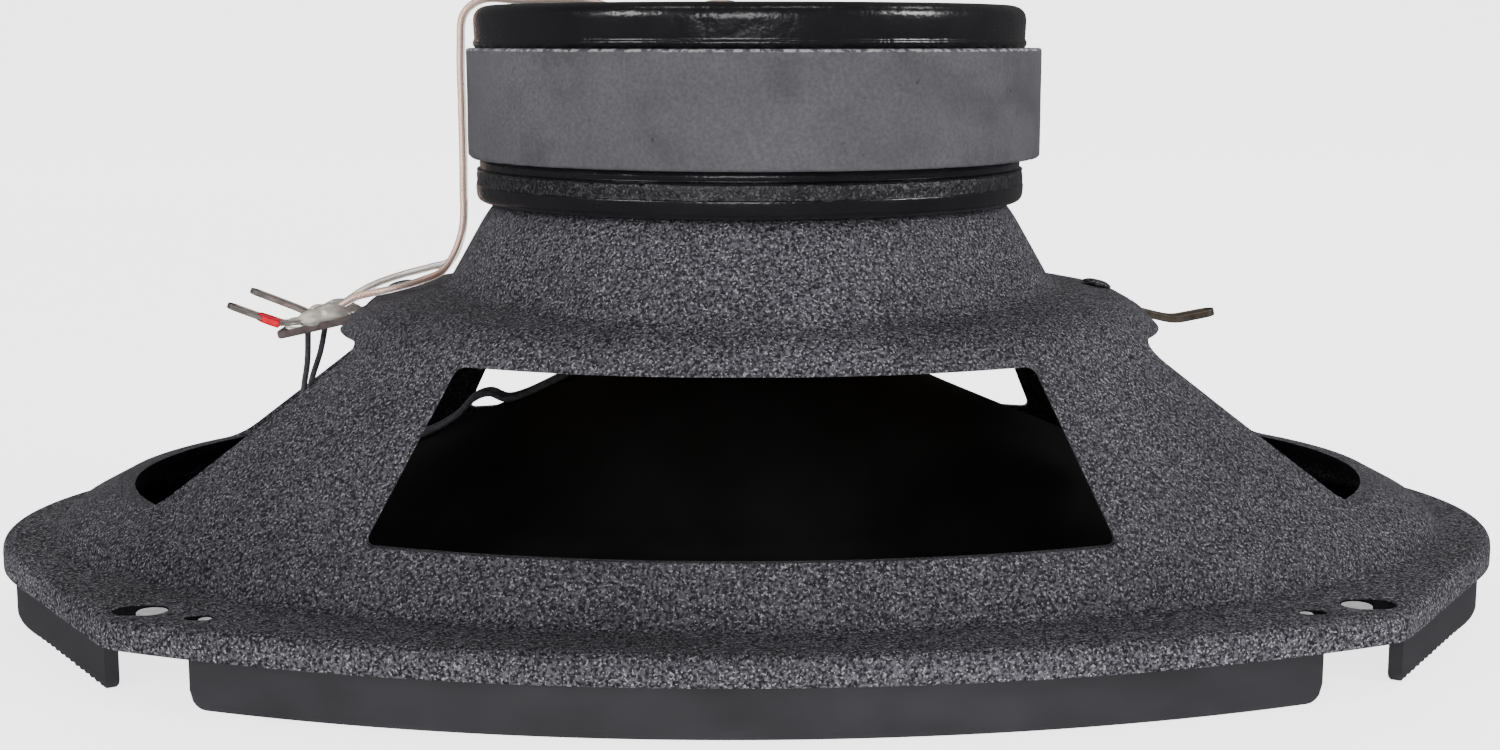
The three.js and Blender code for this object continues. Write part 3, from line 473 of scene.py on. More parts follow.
def finish_piece(name, mesh, material, body, nodes=(), sharp=38.0):
    face_outwards(mesh, merge_mm=0.002)
    mesh.shade_smooth()
    mesh.set_sharp_from_angle(angle=math.radians(sharp))
    piece = add_object(name, mesh)
    mesh.materials.append(material)
    if body:
        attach(piece, body)
    if nodes:
        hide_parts(*nodes)
    return piece


def corner_curve(start, corner, end, steps):
    """Points of a curve from start to end that a corner pulls outwards."""
    shares = [k / steps for k in range(steps + 1)]
    return [(1 - t) ** 2 * start + 2 * t * (1 - t) * corner + t * t * end for t in shares]


def unit(rows):
    return rows / np.linalg.norm(rows, axis=1)[:, None]


def at_height(outline, z):
    return np.column_stack([outline, np.full(len(outline), float(z))])


def rounded(points, steps=4, closed=True):
    """Rounds a polyline's corners. Each point is (x, y) or (x, y, radius)."""
    result = []
    count = len(points)
    for i, point in enumerate(points):
        at = np.array(point[:2], float)
        radius = point[2] if len(point) > 2 else 0.0
        if radius <= 0 or (not closed and i in (0, count - 1)):
            result.append(at)
            continue
        before = np.array(points[i - 1][:2], float) - at
        after = np.array(points[(i + 1) % count][:2], float) - at
        start = at + before * min(0.49, radius / np.linalg.norm(before))
        end = at + after * min(0.49, radius / np.linalg.norm(after))
        result += corner_curve(start, at, end, steps)
    return np.array(result)


def loft(rings, close_rings=True, caps=False):
    """A skin over closed rings of points. close_rings joins the last ring to the first one."""
    count = len(rings[0])
    points = np.concatenate(rings)
    faces = []
    last = len(rings) if close_rings else len(rings) - 1
    for k in range(last):
        lower = k * count
        upper = ((k + 1) % len(rings)) * count
        for i in range(count):
            j = (i + 1) % count
            faces.append((lower + i, lower + j, upper + j, upper + i))
    if caps:
        faces.append(tuple(range(count)))
        faces.append(tuple((len(rings) - 1) * count + i for i in range(count)))
    return points, faces


def turned(profile, segments=96, warp=None, steps=4):
    """Turns a closed profile of (radius, z, corner radius) about Z. warp moves points of (angle, r, z)."""
    outline = rounded(profile, steps)
    rings = []
    for r, z in outline:
        ring = []
        for i in range(segments):
            angle = TURN * i / segments
            rr, zz = warp(angle, r, z) if warp else (r, z)
            ring.append((rr * math.cos(angle), rr * math.sin(angle), zz))
        rings.append(np.array(ring))
    return loft(rings)


def oval_points(angles, a, b, exponent, z):
    c = np.cos(angles)
    s = np.sin(angles)
    x = a * np.sign(c) * np.abs(c) ** (2 / exponent)
    y = b * np.sign(s) * np.abs(s) ** (2 / exponent)
    return np.stack([x, y, np.broadcast_to(z, x.shape)], axis=1)


def between(at, start, end, first, second):
    return ((end - at) * first + (at - start) * second) / (end - start)


def smooth_path(points, step=0.5):
    """Centripetal Catmull-Rom curve through the points, in steps of about step mm."""
    p = [np.array(q, float) for q in points]
    p = [2 * p[0] - p[1], *p, 2 * p[-1] - p[-2]]
    result = []
    for i in range(1, len(p) - 2):
        q = p[i - 1 : i + 3]
        t = [0.0]
        for a, b in zip(q, q[1:]):
            t.append(t[-1] + math.sqrt(np.linalg.norm(b - a)))
        count = max(2, int(np.linalg.norm(q[2] - q[1]) / step))
        for k in range(count):
            at = t[1] + (t[2] - t[1]) * k / count
            first = [between(at, t[j], t[j + 1], q[j], q[j + 1]) for j in range(3)]
            second = [between(at, t[j], t[j + 2], first[j], first[j + 1]) for j in range(2)]
            result.append(between(at, t[1], t[2], *second))
    result.append(p[-2])
    return np.array(result)


def tube(points, radius, sides=12, step=0.5):
    """A round tube along a smooth curve."""
    path = smooth_path(points, step)
    tangents = unit(np.gradient(path, axis=0))
    angles = TURN * np.arange(sides) / sides
    normal = np.cross(tangents[0], (0.3, 1.0, 0.2))
    rings = []
    for at, along in zip(path, tangents):
        normal = normal - along * np.dot(normal, along)
        normal /= np.linalg.norm(normal)
        side = np.cross(along, normal)
        rings.append(at + radius * (np.cos(angles)[:, None] * normal + np.sin(angles)[:, None] * side))
    return loft(rings, close_rings=False, caps=True)


def slab(outline, z0, z1, bevel=0.15):
    """A flat plate of an outline between two heights, with bevelled edges."""
    centre = outline.mean(axis=0)
    reach = np.linalg.norm(outline - centre, axis=1)[:, None]
    small = centre + (outline - centre) * (1 - bevel / reach)
    levels = [(small, z0), (outline, z0 + bevel), (outline, z1 - bevel), (small, z1)]
    return loft([at_height(*level) for level in levels], close_rings=False, caps=True)


def moved(part, tilt_y=0.0, shift=(0, 0, 0)):
    """Turns a part about Y, then shifts it."""
    points, faces = part
    c, s = math.cos(tilt_y), math.sin(tilt_y)
    turn = np.array([[c, 0, s], [0, 1, 0], [-s, 0, c]])
    return points @ turn.T + np.array(shift), faces


def wobble(x, y, z, size, seed=0.0):
    """Smooth noise from -1 to 1 at a place in mm."""
    return noise.noise(Vector((x / size + seed, y / size - seed, z / size)))


# ---- flange outline
def quarter_outline():
    """From the apex on +Y to the apex on +X: long arc, rounded corner, chamfer, end arc."""
    long_centre = HALF_WIDTH - LONG_ARC_RADIUS
    end_centre = np.array([HALF_LENGTH - END_ARC_RADIUS, 0.0])

    def on_long_arc(x):
        return np.array([x, long_centre + math.sqrt(LONG_ARC_RADIUS**2 - x * x)])

    def on_end_arc(angle):
        return end_centre + END_ARC_RADIUS * np.array([math.cos(angle), math.sin(angle)])

    corner = on_long_arc(CORNER_X)
    reach = corner - end_centre
    tangent_angle = math.atan2(reach[1], reach[0]) - math.acos(END_ARC_RADIUS / np.linalg.norm(reach))
    tangent = on_end_arc(tangent_angle)
    start = on_long_arc(CORNER_X - CORNER_RADIUS)
    end = corner + (tangent - corner) * CORNER_RADIUS / np.linalg.norm(tangent - corner)
    points = [on_long_arc((CORNER_X - CORNER_RADIUS) * i / 40) for i in range(40)]
    points += corner_curve(start, corner, end, 6)
    points += [end + (tangent - end) * i / 16 for i in range(1, 16)]
    points += [on_end_arc(tangent_angle * (1 - i / 18)) for i in range(19)]
    return np.array(points)


def full_outline():
    quarter = quarter_outline()
    inner = quarter[1:-1]
    return np.concatenate(
        [
            quarter[-1:], inner[::-1], quarter[:1], inner * (-1, 1), quarter[-1:] * (-1, 1),
            inner[::-1] * (-1, -1), quarter[:1] * (1, -1), inner * (1, -1),
        ]
    )


OUTLINE = full_outline()
OUTLINE_ANGLES = np.arctan2(OUTLINE[:, 1] / HALF_WIDTH, OUTLINE[:, 0] / HALF_LENGTH)


def outline_inset(inset):
    along = unit(np.roll(OUTLINE, -1, axis=0) - np.roll(OUTLINE, 1, axis=0))
    return OUTLINE + inset * np.stack([-along[:, 1], along[:, 0]], axis=1)


def outline_ring(inset, z):
    return at_height(outline_inset(inset), z)


# ---- basket
# Stations of the outer face: half-axes, heights on the X and Y axes, exponent of the oval, fillet.
BASKET_STATIONS = [
    (30.0, 30.0, NECK_TOP, NECK_TOP, 2.0, 0.0),
    (40.2, 40.2, NECK_TOP, NECK_TOP, 2.0, 1.6),
    (42.0, 42.0, 61.0, 61.0, 2.0, 1.6),
    (47.6, 48.1, 51.2, 49.6, 2.0, 0.7),
    (49.0, 49.4, 50.4, 48.5, 2.0, 0.7),
    (58.5, 50.9, 48.6, 47.6, 2.05, 1.0),
    (62.5, 52.3, 46.4, 46.2, 2.12, 1.4),
    (64.8, 53.5, 43.8, 43.8, 2.15, 1.4),
    (67.3, 54.9, 41.4, 41.2, 2.12, 2.0),
    (79.8, 59.2, 33.0, 33.0, 2.06, 6.0),
    (99.7, 66.1, 20.0, 20.0, 2.0, 2.0),
    (107.0, 68.2, 16.2, 16.2, 2.0, 1.5),
    (109.6, 69.1, 14.2, 14.2, 2.0, 0.8),
    (110.5, 69.8, 12.4, 12.4, 2.0, 0.6),
    (111.8, 70.8, FLANGE_TOP, FLANGE_TOP, 2.0, 0.8),
]


def fillet_rings(rings, radii, steps=5):
    """Rounds a stack of rings along its profile, each point on its own line through the stack."""
    result = [rings[0]]
    for k in range(1, len(rings) - 1):
        at = rings[k]
        before = rings[k - 1] - at
        after = rings[k + 1] - at
        near = np.linalg.norm(before, axis=1)[:, None]
        far = np.linalg.norm(after, axis=1)[:, None]
        if radii[k] <= 0:
            result.append(at)
            continue
        start = at + before * np.minimum(0.48, radii[k] / near)
        end = at + after * np.minimum(0.48, radii[k] / far)
        result += corner_curve(start, at, end, steps)
    result.append(rings[-1])
    return result


def sheet_skin(rings, thickness):
    """A sheet of even thickness under a stack of rings."""
    grid = np.array(rings)
    along = np.gradient(grid, axis=0)
    around = np.roll(grid, -1, axis=1) - np.roll(grid, 1, axis=1)
    normal = np.cross(along, around)
    normal /= np.linalg.norm(normal, axis=2)[:, :, None]
    if normal[0, 0, 2] < 0:
        normal = -normal
    inner = grid - thickness * normal
    return [*grid, *inner[::-1]]


def prism(corners, radius, low, high, axis):
    """A prism of a rounded outline, along Y or X. corners are (across, z)."""
    outline = rounded([(*c, radius) for c in corners], steps=5)
    rings = []
    for level in (low, high):
        ring = at_height(outline, level)
        rings.append(ring[:, [0, 2, 1]] if axis == "Y" else ring[:, [2, 0, 1]])
    return loft(rings, close_rings=False, caps=True)


def slot_outline(x, y, length, width, steps=12):
    half = (length - width) / 2
    angles = np.linspace(-math.pi / 2, math.pi / 2, steps)
    right = np.column_stack([x + half + width / 2 * np.cos(angles), y + width / 2 * np.sin(angles)])
    left = np.column_stack([x - half - width / 2 * np.cos(angles), y - width / 2 * np.sin(angles)])
    return np.concatenate([right, left])


def block(low, high):
    x0, y0, z0 = low
    x1, y1, z1 = high
    ring = [(x0, y0), (x1, y0), (x1, y1), (x0, y1)]
    rings = [np.array([(x, y, z) for x, y in ring], float) for z in (z0, z1)]
    return loft(rings, close_rings=False, caps=True)


def cut_away(piece, parts, edge_mm=0.0):
    """Cuts parts out of a piece and rounds the edges that this leaves."""
    mesh = joined_mesh("cutter", parts)
    face_outwards(mesh)
    cutter = add_object("cutter", mesh)
    boolean = piece.modifiers.new("cut", "BOOLEAN")
    boolean.operation = "DIFFERENCE"
    boolean.solver = "EXACT"
    boolean.object = cutter
    if edge_mm > 0:
        bevel = piece.modifiers.new("edges", "BEVEL")
        bevel.width = edge_mm * MM
        bevel.segments = 2
        bevel.limit_method = "ANGLE"
        bevel.angle_limit = math.radians(50)
    bake_modifiers(piece)
    bpy.data.objects.remove(cutter)


def bake_modifiers(piece, sharp=38.0):
    graph = bpy.context.evaluated_depsgraph_get()
    result = bpy.data.meshes.new_from_object(piece.evaluated_get(graph))
    piece.modifiers.clear()
    piece.data = result
    result.shade_smooth()
    result.set_sharp_from_angle(angle=math.radians(sharp))


def corners_of(slot):
    return [(sx * slot["x"], sy * slot["y"]) for sx, sy in ((1, 1), (-1, 1), (-1, -1), (1, -1))]


def make_basket(paint):
    rings = []
    radii = []
    for a, b, za, zb, exponent, fillet in BASKET_STATIONS:
        ring = oval_points(OUTLINE_ANGLES, a, b, exponent, 0.0)
        ring[:, 2] = za * np.cos(OUTLINE_ANGLES) ** 2 + zb * np.sin(OUTLINE_ANGLES) ** 2
        rings.append(ring)
        radii.append(fillet)
    rings += [outline_ring(0.0, FLANGE_TOP), outline_ring(0.0, RIM_BOTTOM)]
    radii += [RIM_ROLL, 0.0]
    skin = sheet_skin(fillet_rings(rings, radii), SHEET)
    piece = make_piece("basket_shell", [loft(skin)], paint, FRAME_BODY, ["basket"])

    cutters = []
    for side, window in ((-1, FRONT_WINDOW), (1, REAR_WINDOW)):
        cutters.append(prism(window, LONG_WINDOW_CORNER, *sorted((side * 30, side * 78)), "Y"))
        cutters.append(prism(END_WINDOW, END_WINDOW_CORNER, *sorted((side * 52, side * 110)), "X"))
    for slot in (SLOT, SMALL_SLOT):
        for x, y in corners_of(slot):
            cutters.append(slab(slot_outline(x, y, slot["length"], slot["width"]), 5, 14, 0.01))
    cut_away(piece, cutters)
    notches = [block((-70, -8, 39), (-NOTCH_START, 8, 50)), block((NOTCH_START, -2.7, 39), (70, 2.7, 50))]
    cut_away(piece, notches, edge_mm=0.25)


def make_slot_light_and_shade(stuff, dark):
    """Painted light and shade in the mounting holes: a small pale plug in the inner half of each hole stands
    in for the light seen there, and a dark sleeve on the hole's walls paints their shade.
    """
    for slot, name in ((SLOT, "slot_pad"), (SMALL_SLOT, "small_slot_pad")):
        parts = []
        for x, y in corners_of(slot):
            width = slot["width"] * 0.78
            inwards = -math.copysign((slot["length"] - width) / 2 - 0.1, x)
            pad = slot_outline(x + inwards, y, width, width - 0.01)
            parts.append(slab(pad, FLANGE_TOP - SHEET - 0.7, FLANGE_TOP - 0.15, 0.1))
        make_piece(name, parts, stuff, FRAME_BODY)
        # Dark sleeves on the walls of the holes: painted shade.
        sleeves = [hole_sleeve(x, y, slot["length"], slot["width"]) for x, y in corners_of(slot)]
        make_piece(name.replace("pad", "painted_shade"), sleeves, dark, FRAME_BODY)


def hole_sleeve(x, y, length, width, thickness=0.1):
    """A thin sleeve that lines a hole through the flange."""
    rings = []
    for inset, z in ((0, 0), (0, 1), (thickness, 1), (thickness, 0)):
        outline = slot_outline(x, y, length - 0.02 - 2 * inset, width - 0.02 - 2 * inset)
        height = FLANGE_TOP - SHEET - 0.2 + z * (SHEET + 0.1)
        rings.append(at_height(outline, height))
    return loft(rings)


# ---- trim ring
def wall_strip(keep, lower_edge):
    """A wall up to the plate along the outline where keep is true. lower_edge(mm from its start, length)."""
    outer = outline_inset(WALL_INSET)
    inner = outline_inset(WALL_INSET + WALL_THICKNESS)
    chosen = [i for i in range(len(outer)) if keep(outer[i])]
    breaks = [k for k, i in enumerate(chosen) if (chosen[k - 1] + 1) % len(outer) != i]
    first = breaks[0] if breaks else 0
    chosen = chosen[first:] + chosen[:first]
    path_out = resample(outer[chosen])
    path_in = resample(inner[chosen], len(path_out))
    lengths = run_lengths(path_out)
    rings = []
    for i, at in enumerate(lengths):
        z0 = lower_edge(at, lengths[-1])
        z1 = TRIM_PLATE[1]
        o, n = path_out[i], path_in[i]
        inward = (n - o) / np.linalg.norm(n - o)
        soft = 0.35
        section = [
            (*o, z1), (*o, max(TOOTH_TOP, z0 + 2 * soft)), (*o, z0 + soft),
            (*(o + inward * soft * 0.3), z0 + soft * 0.3), (*(o + inward * soft), z0),
            (*(n - inward * soft), z0), (*n, z0 + soft), (*n, max(TOOTH_TOP, z0 + 2 * soft)), (*n, z1),
        ]
        rings.append(np.array(section))
    return loft(rings, close_rings=False, caps=True)


def run_lengths(points):
    return np.concatenate([[0], np.cumsum(np.linalg.norm(np.diff(points, axis=0), axis=1))])


def resample(points, count=None, step=0.4):
    lengths = run_lengths(points)
    if count is None:
        count = int(lengths[-1] / step)
    at = np.linspace(0, lengths[-1], count)
    return np.column_stack([np.interp(at, lengths, points[:, k]) for k in range(2)])


def rounded_ends(at, total, radius):
    """Height of a lower edge whose two ends are rounded."""
    near = min(at, total - at)
    if near >= radius:
        return 0.0
    return radius - math.sqrt(radius**2 - (radius - near) ** 2)


def make_trim_ring(plastic):
    def front_edge(at, total):
        return rounded_ends(at, total, 2.4)

    def end_edge(at, total):
        from_end = min(at, total - at)
        tooth_pitch = 2.3
        fade = min(1.0, max(0.0, (34 - from_end) / 8)) * min(1.0, from_end / 2)
        teeth = 0.35 * fade * abs(math.sin(math.pi * at / tooth_pitch))
        return rounded_ends(at, total, 0.8) + teeth

    parts = []
    for side in (-1, 1):
        parts.append(wall_strip(lambda p: abs(p[0]) <= FRONT_WALL_HALF and p[1] * side > 0, front_edge))
        parts.append(wall_strip(lambda p: abs(p[1]) <= END_WALL_HALF and p[0] * side > 0, end_edge))
    plate_inner = oval_points(OUTLINE_ANGLES, *TRIM_OPENING, 2.1, 0.0)[:, :2]
    low, high = TRIM_PLATE
    soft = 0.3
    levels = [
        (outline_inset(WALL_INSET + 0.2), high), (outline_inset(WALL_INSET + 0.2), low),
        (plate_inner * (1 + soft / 100), low), (plate_inner, low + soft), (plate_inner, high),
    ]
    rings = [at_height(*level) for level in levels]
    plate = make_piece("trim_plate", [loft(rings)], plastic, FRAME_BODY, ["trim_ring"])
    cutters = []
    for slot, room in ((SLOT, 2.0), (SMALL_SLOT, 1.0)):
        for x, y in corners_of(slot):
            around = slot_outline(x, y, slot["length"] + 2 * room, slot["length"] + 2 * room - 0.01)
            cutters.append(slab(around, 5, 12, 0.01))
    cut_away(plate, cutters)
    make_piece("trim_painted_shades", parts, plastic, FRAME_BODY, ["trim_ring"])


# ---- motor
def make_motor(gloss, rough, stone):
    low, high, radius = MAGNET_LOW[2] - SEAM / 2, MAGNET_HIGH[2] + SEAM / 2, MAGNET_HIGH[0]

    def chip(angle, r, z):
        if r < radius - 3:
            return r, z
        x, y = radius * math.cos(angle), radius * math.sin(angle)
        edge = min(abs(z - low), abs(high - z))
        ragged = max(0.0, wobble(x, y, z, 2.2, 3.0) - 0.12) * 1.3
        ragged += max(0.0, wobble(x, y, z, 7.0, 8.0) - 0.25) * 1.2
        worn = ragged * max(0.0, 1 - edge / 2.2)
        wave = 0.1 * wobble(x, y, z, 9.0)
        return r - worn + wave, z

    magnet = [
        (22.0, low, 0.4), (radius, low, 0.7),
        *[(radius, low + (high - low) * t) for t in (0.08, 0.2, 0.4, 0.6, 0.8, 0.92)],
        (radius, high, 0.5), (22.0, high, 0.4),
    ]
    ring = moved(turned(magnet, 360, chip), shift=(MAGNET_OFFSET, 0, 0))
    make_piece("magnet_ring", [ring], stone, FRAME_BODY, ["ferrite_magnet"], sharp=50)

    p0, p1 = PLATE_LOW[2] - SEAM, PLATE_HIGH[2] + SEAM / 2
    plate_radius = PLATE_HIGH[0]
    tear_top = p1 - 1.9
    tear_bottom = p0 + 2.5

    def torn(angle, r, z):
        if r < plate_radius - 0.45 or not tear_bottom - 0.6 < z < tear_top + 0.2:
            return r, z
        x, y = plate_radius * math.cos(angle), plate_radius * math.sin(angle)
        depth = 0.16 + 0.22 * wobble(x, y, z * 2, 0.9) + 0.12 * wobble(x, y, z, 3.0, 5.0)
        return r - max(0.0, depth), z + 0.28 * wobble(x, y, 0, 1.6, 2.0)

    band = [
        (plate_radius - 2.0, tear_bottom), (plate_radius, tear_bottom),
        *[(plate_radius - 0.05, between(t, 0, 1, tear_bottom, tear_top)) for t in (0.15, 0.35, 0.55, 0.75)],
        (plate_radius - 0.2, tear_top), (plate_radius - 2.0, tear_top),
    ]
    lower = [
        (14.2, p0), (plate_radius - 0.2, p0, 1.3), (plate_radius, tear_bottom + 0.12, 0.5),
        (plate_radius - 0.3, tear_bottom + 0.3, 0.1), (14.2, tear_bottom + 0.3),
    ]
    upper = [
        (14.2, tear_top - 0.2), (plate_radius - 0.35, tear_top - 0.2, 0.1),
        (plate_radius - 0.1, tear_top + 0.1, 0.15), (plate_radius - 0.75, tear_top + 0.35, 0.2),
        (plate_radius - 0.55, p1 - 0.8, 0.5), (plate_radius - 1.0, p1, 0.4), (14.2, p1),
    ]
    parts = [turned(lower, 360), turned(upper, 360)]
    make_piece("front_plate_body", parts, gloss, FRAME_BODY, ["front_plate"])
    make_piece("front_plate_tear", [turned(band, 900, torn)], rough, FRAME_BODY, ["front_plate"], sharp=60)

    y0, top, yoke_radius = MAGNET_HIGH[2] + SEAM / 2, YOKE_HIGH[2], YOKE_HIGH[0]
    pole_low = YOKE_LOW[2]
    yoke = [
        (5.2, pole_low, 0.3), (11.7, pole_low, 0.6), (11.7, y0, 0.5), (yoke_radius - 0.35, y0),
        (yoke_radius, y0 + 0.5, 0.3), (yoke_radius, y0 + 1.0, 0.2), (yoke_radius - 0.25, y0 + 1.3, 0.3),
        (yoke_radius, top, 3.2), (26.0, top, 0.8), (23.8, top - 2.2, 0.8), (9.0, top - 2.2, 0.4),
        (9.0, top - 4.4, 0.4), (5.2, top - 4.4, 0.3),
    ]
    make_piece("yoke_body", [turned(yoke, 256, steps=8)], gloss, FRAME_BODY, ["yoke"])


# ---- cone and suspension
def cone_station(t):
    a = CONE_APEX_RADIUS + (CONE_EDGE[0] - CONE_APEX_RADIUS) * t
    b = CONE_APEX_RADIUS + (CONE_EDGE[1] - CONE_APEX_RADIUS) * t
    z = CONE_APEX_Z - (CONE_APEX_Z - CONE_EDGE_Z) * t**CONE_CURVE
    return a, b, z, 2 + (CONE_SQUARENESS - 2) * t


def cone_height(x):
    """Height of the cone's back at a distance along X."""
    return cone_station((x - CONE_APEX_RADIUS) / (CONE_EDGE[0] - CONE_APEX_RADIUS))[2]


def make_cone(paper):
    angles = TURN * np.arange(192) / 192
    back = []
    for t in np.linspace(0, 1, 33):
        a, b, z, exponent = cone_station(t)
        rib = 0.35 * math.sin(math.pi * max(0.0, (t - 0.7) / 0.3) * 3) ** 2 if t > 0.7 else 0.0
        back.append(oval_points(angles, a, b, exponent, z + rib))
    front = [ring - (0, 0, CONE_THICKNESS) for ring in back]
    lip = oval_points(angles, CONE_EDGE[0] + 2.2, CONE_EDGE[1] + 2.2, CONE_SQUARENESS, CONE_EDGE_Z - 0.1)
    rings = [*back, lip, lip - (0, 0, CONE_THICKNESS), *front[::-1]]
    make_piece("cone_skin", [loft(rings)], paper, CONE_BODY, ["cone"])


def flex(piece, share):
    """Bakes a ring's placement into its mesh and works out each point's share between the frame and another
    body. Nothing uses these shares yet, so the ring does not bend.

    share(point in mm) is 0 where the frame holds the ring and 1 where the other body holds it.
    """
    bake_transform(piece)
    weights = [share(np.array(v.co) / MM) for v in piece.data.vertices]


def ease(t):
    t = min(1.0, max(0.0, t))
    return t * t * (3 - 2 * t)


def make_surround(rubber):
    angles = TURN * np.arange(192) / 192
    inner = (CONE_EDGE[0] - 0.6, CONE_EDGE[1] - 0.6)
    top = SURROUND_BOTTOM + SURROUND_THICKNESS
    spans = [(0.0, top)]
    steps = 18
    for i in range(steps + 1):
        s = i / steps
        spans.append((0.06 + 0.66 * s, top - ROLL_HEIGHT * math.sin(math.pi * s) ** 0.8))
    spans.append((1.0, top))
    back = []
    for share, z in spans:
        a = inner[0] + (SURROUND_LIP[0] - inner[0]) * share
        b = inner[1] + (SURROUND_LIP[1] - inner[1]) * share
        back.append(oval_points(angles, a, b, CONE_SQUARENESS, z))
    front = [ring - (0, 0, SURROUND_THICKNESS) for ring in back]
    piece = make_piece("surround_roll", [loft([*back, *front[::-1]])], rubber, None, ["surround"])

    def on_cone(point):
        size = sum((abs(c) / half) ** CONE_SQUARENESS for c, half in zip(point, ROLL_OUTER))
        outwards = size ** (1 / CONE_SQUARENESS)
        edge = CONE_EDGE[1] / ROLL_OUTER[1] + 0.04
        return ease((1 - outwards) / (1 - edge))

    flex(piece, on_cone)


def make_spider(fabric):
    inner, outer, z, folds = 12.8, 46.6, 47.9, 6
    samples = 60
    back = [(inner, z)]
    for i in range(samples + 1):
        t = i / samples
        r = inner + 2.0 + (outer - inner - 4.5) * t
        back.append((r, z - 0.5 - 0.9 * math.sin(TURN * folds * t)))
    back.append((outer, z))
    front = [(r, level - 0.45) for r, level in reversed(back)]
    piece = make_piece("spider_folds", [turned([*back, *front], 160)], fabric, None, ["spider"], sharp=60)

    def on_cone(point):
        return ease((outer - 2.5 - math.hypot(point[0], point[1])) / (outer - inner - 4.5))

    flex(piece, on_cone)


def make_voice_coil(film, copper, rubber):
    former = [(12.1, 40.4), (12.5, 40.4), (12.5, 71.0), (12.1, 71.0)]
    make_piece("coil_former", [turned(former, 96)], film, CONE_BODY, ["voice_coil_former"])
    z0, z1, pitch = 61.0, 72.0, 0.36
    count = int((z1 - z0) / pitch)
    outer = []
    for i in range(count):
        z = z0 + pitch * i
        outer += [(13.28, z), (13.4, z + pitch * 0.5)]
    outer.append((13.28, z1))
    turns = [(12.75, z0), *outer, (12.75, z1)]
    make_piece("coil_winding", [turned(turns, 96)], copper, CONE_BODY, ["voice_coil"])
    ring = [(6.0, 42.0, 0.2), (9.0, 43.4, 0.8), (11.9, 42.0, 0.2)]
    ring += [(11.9, 42.8, 0.2), (9.0, 44.0, 0.8), (6.0, 42.8, 0.2)]
    make_piece("dust_seal", [turned(ring, 96)], rubber, CONE_BODY, ["dust_ring"])


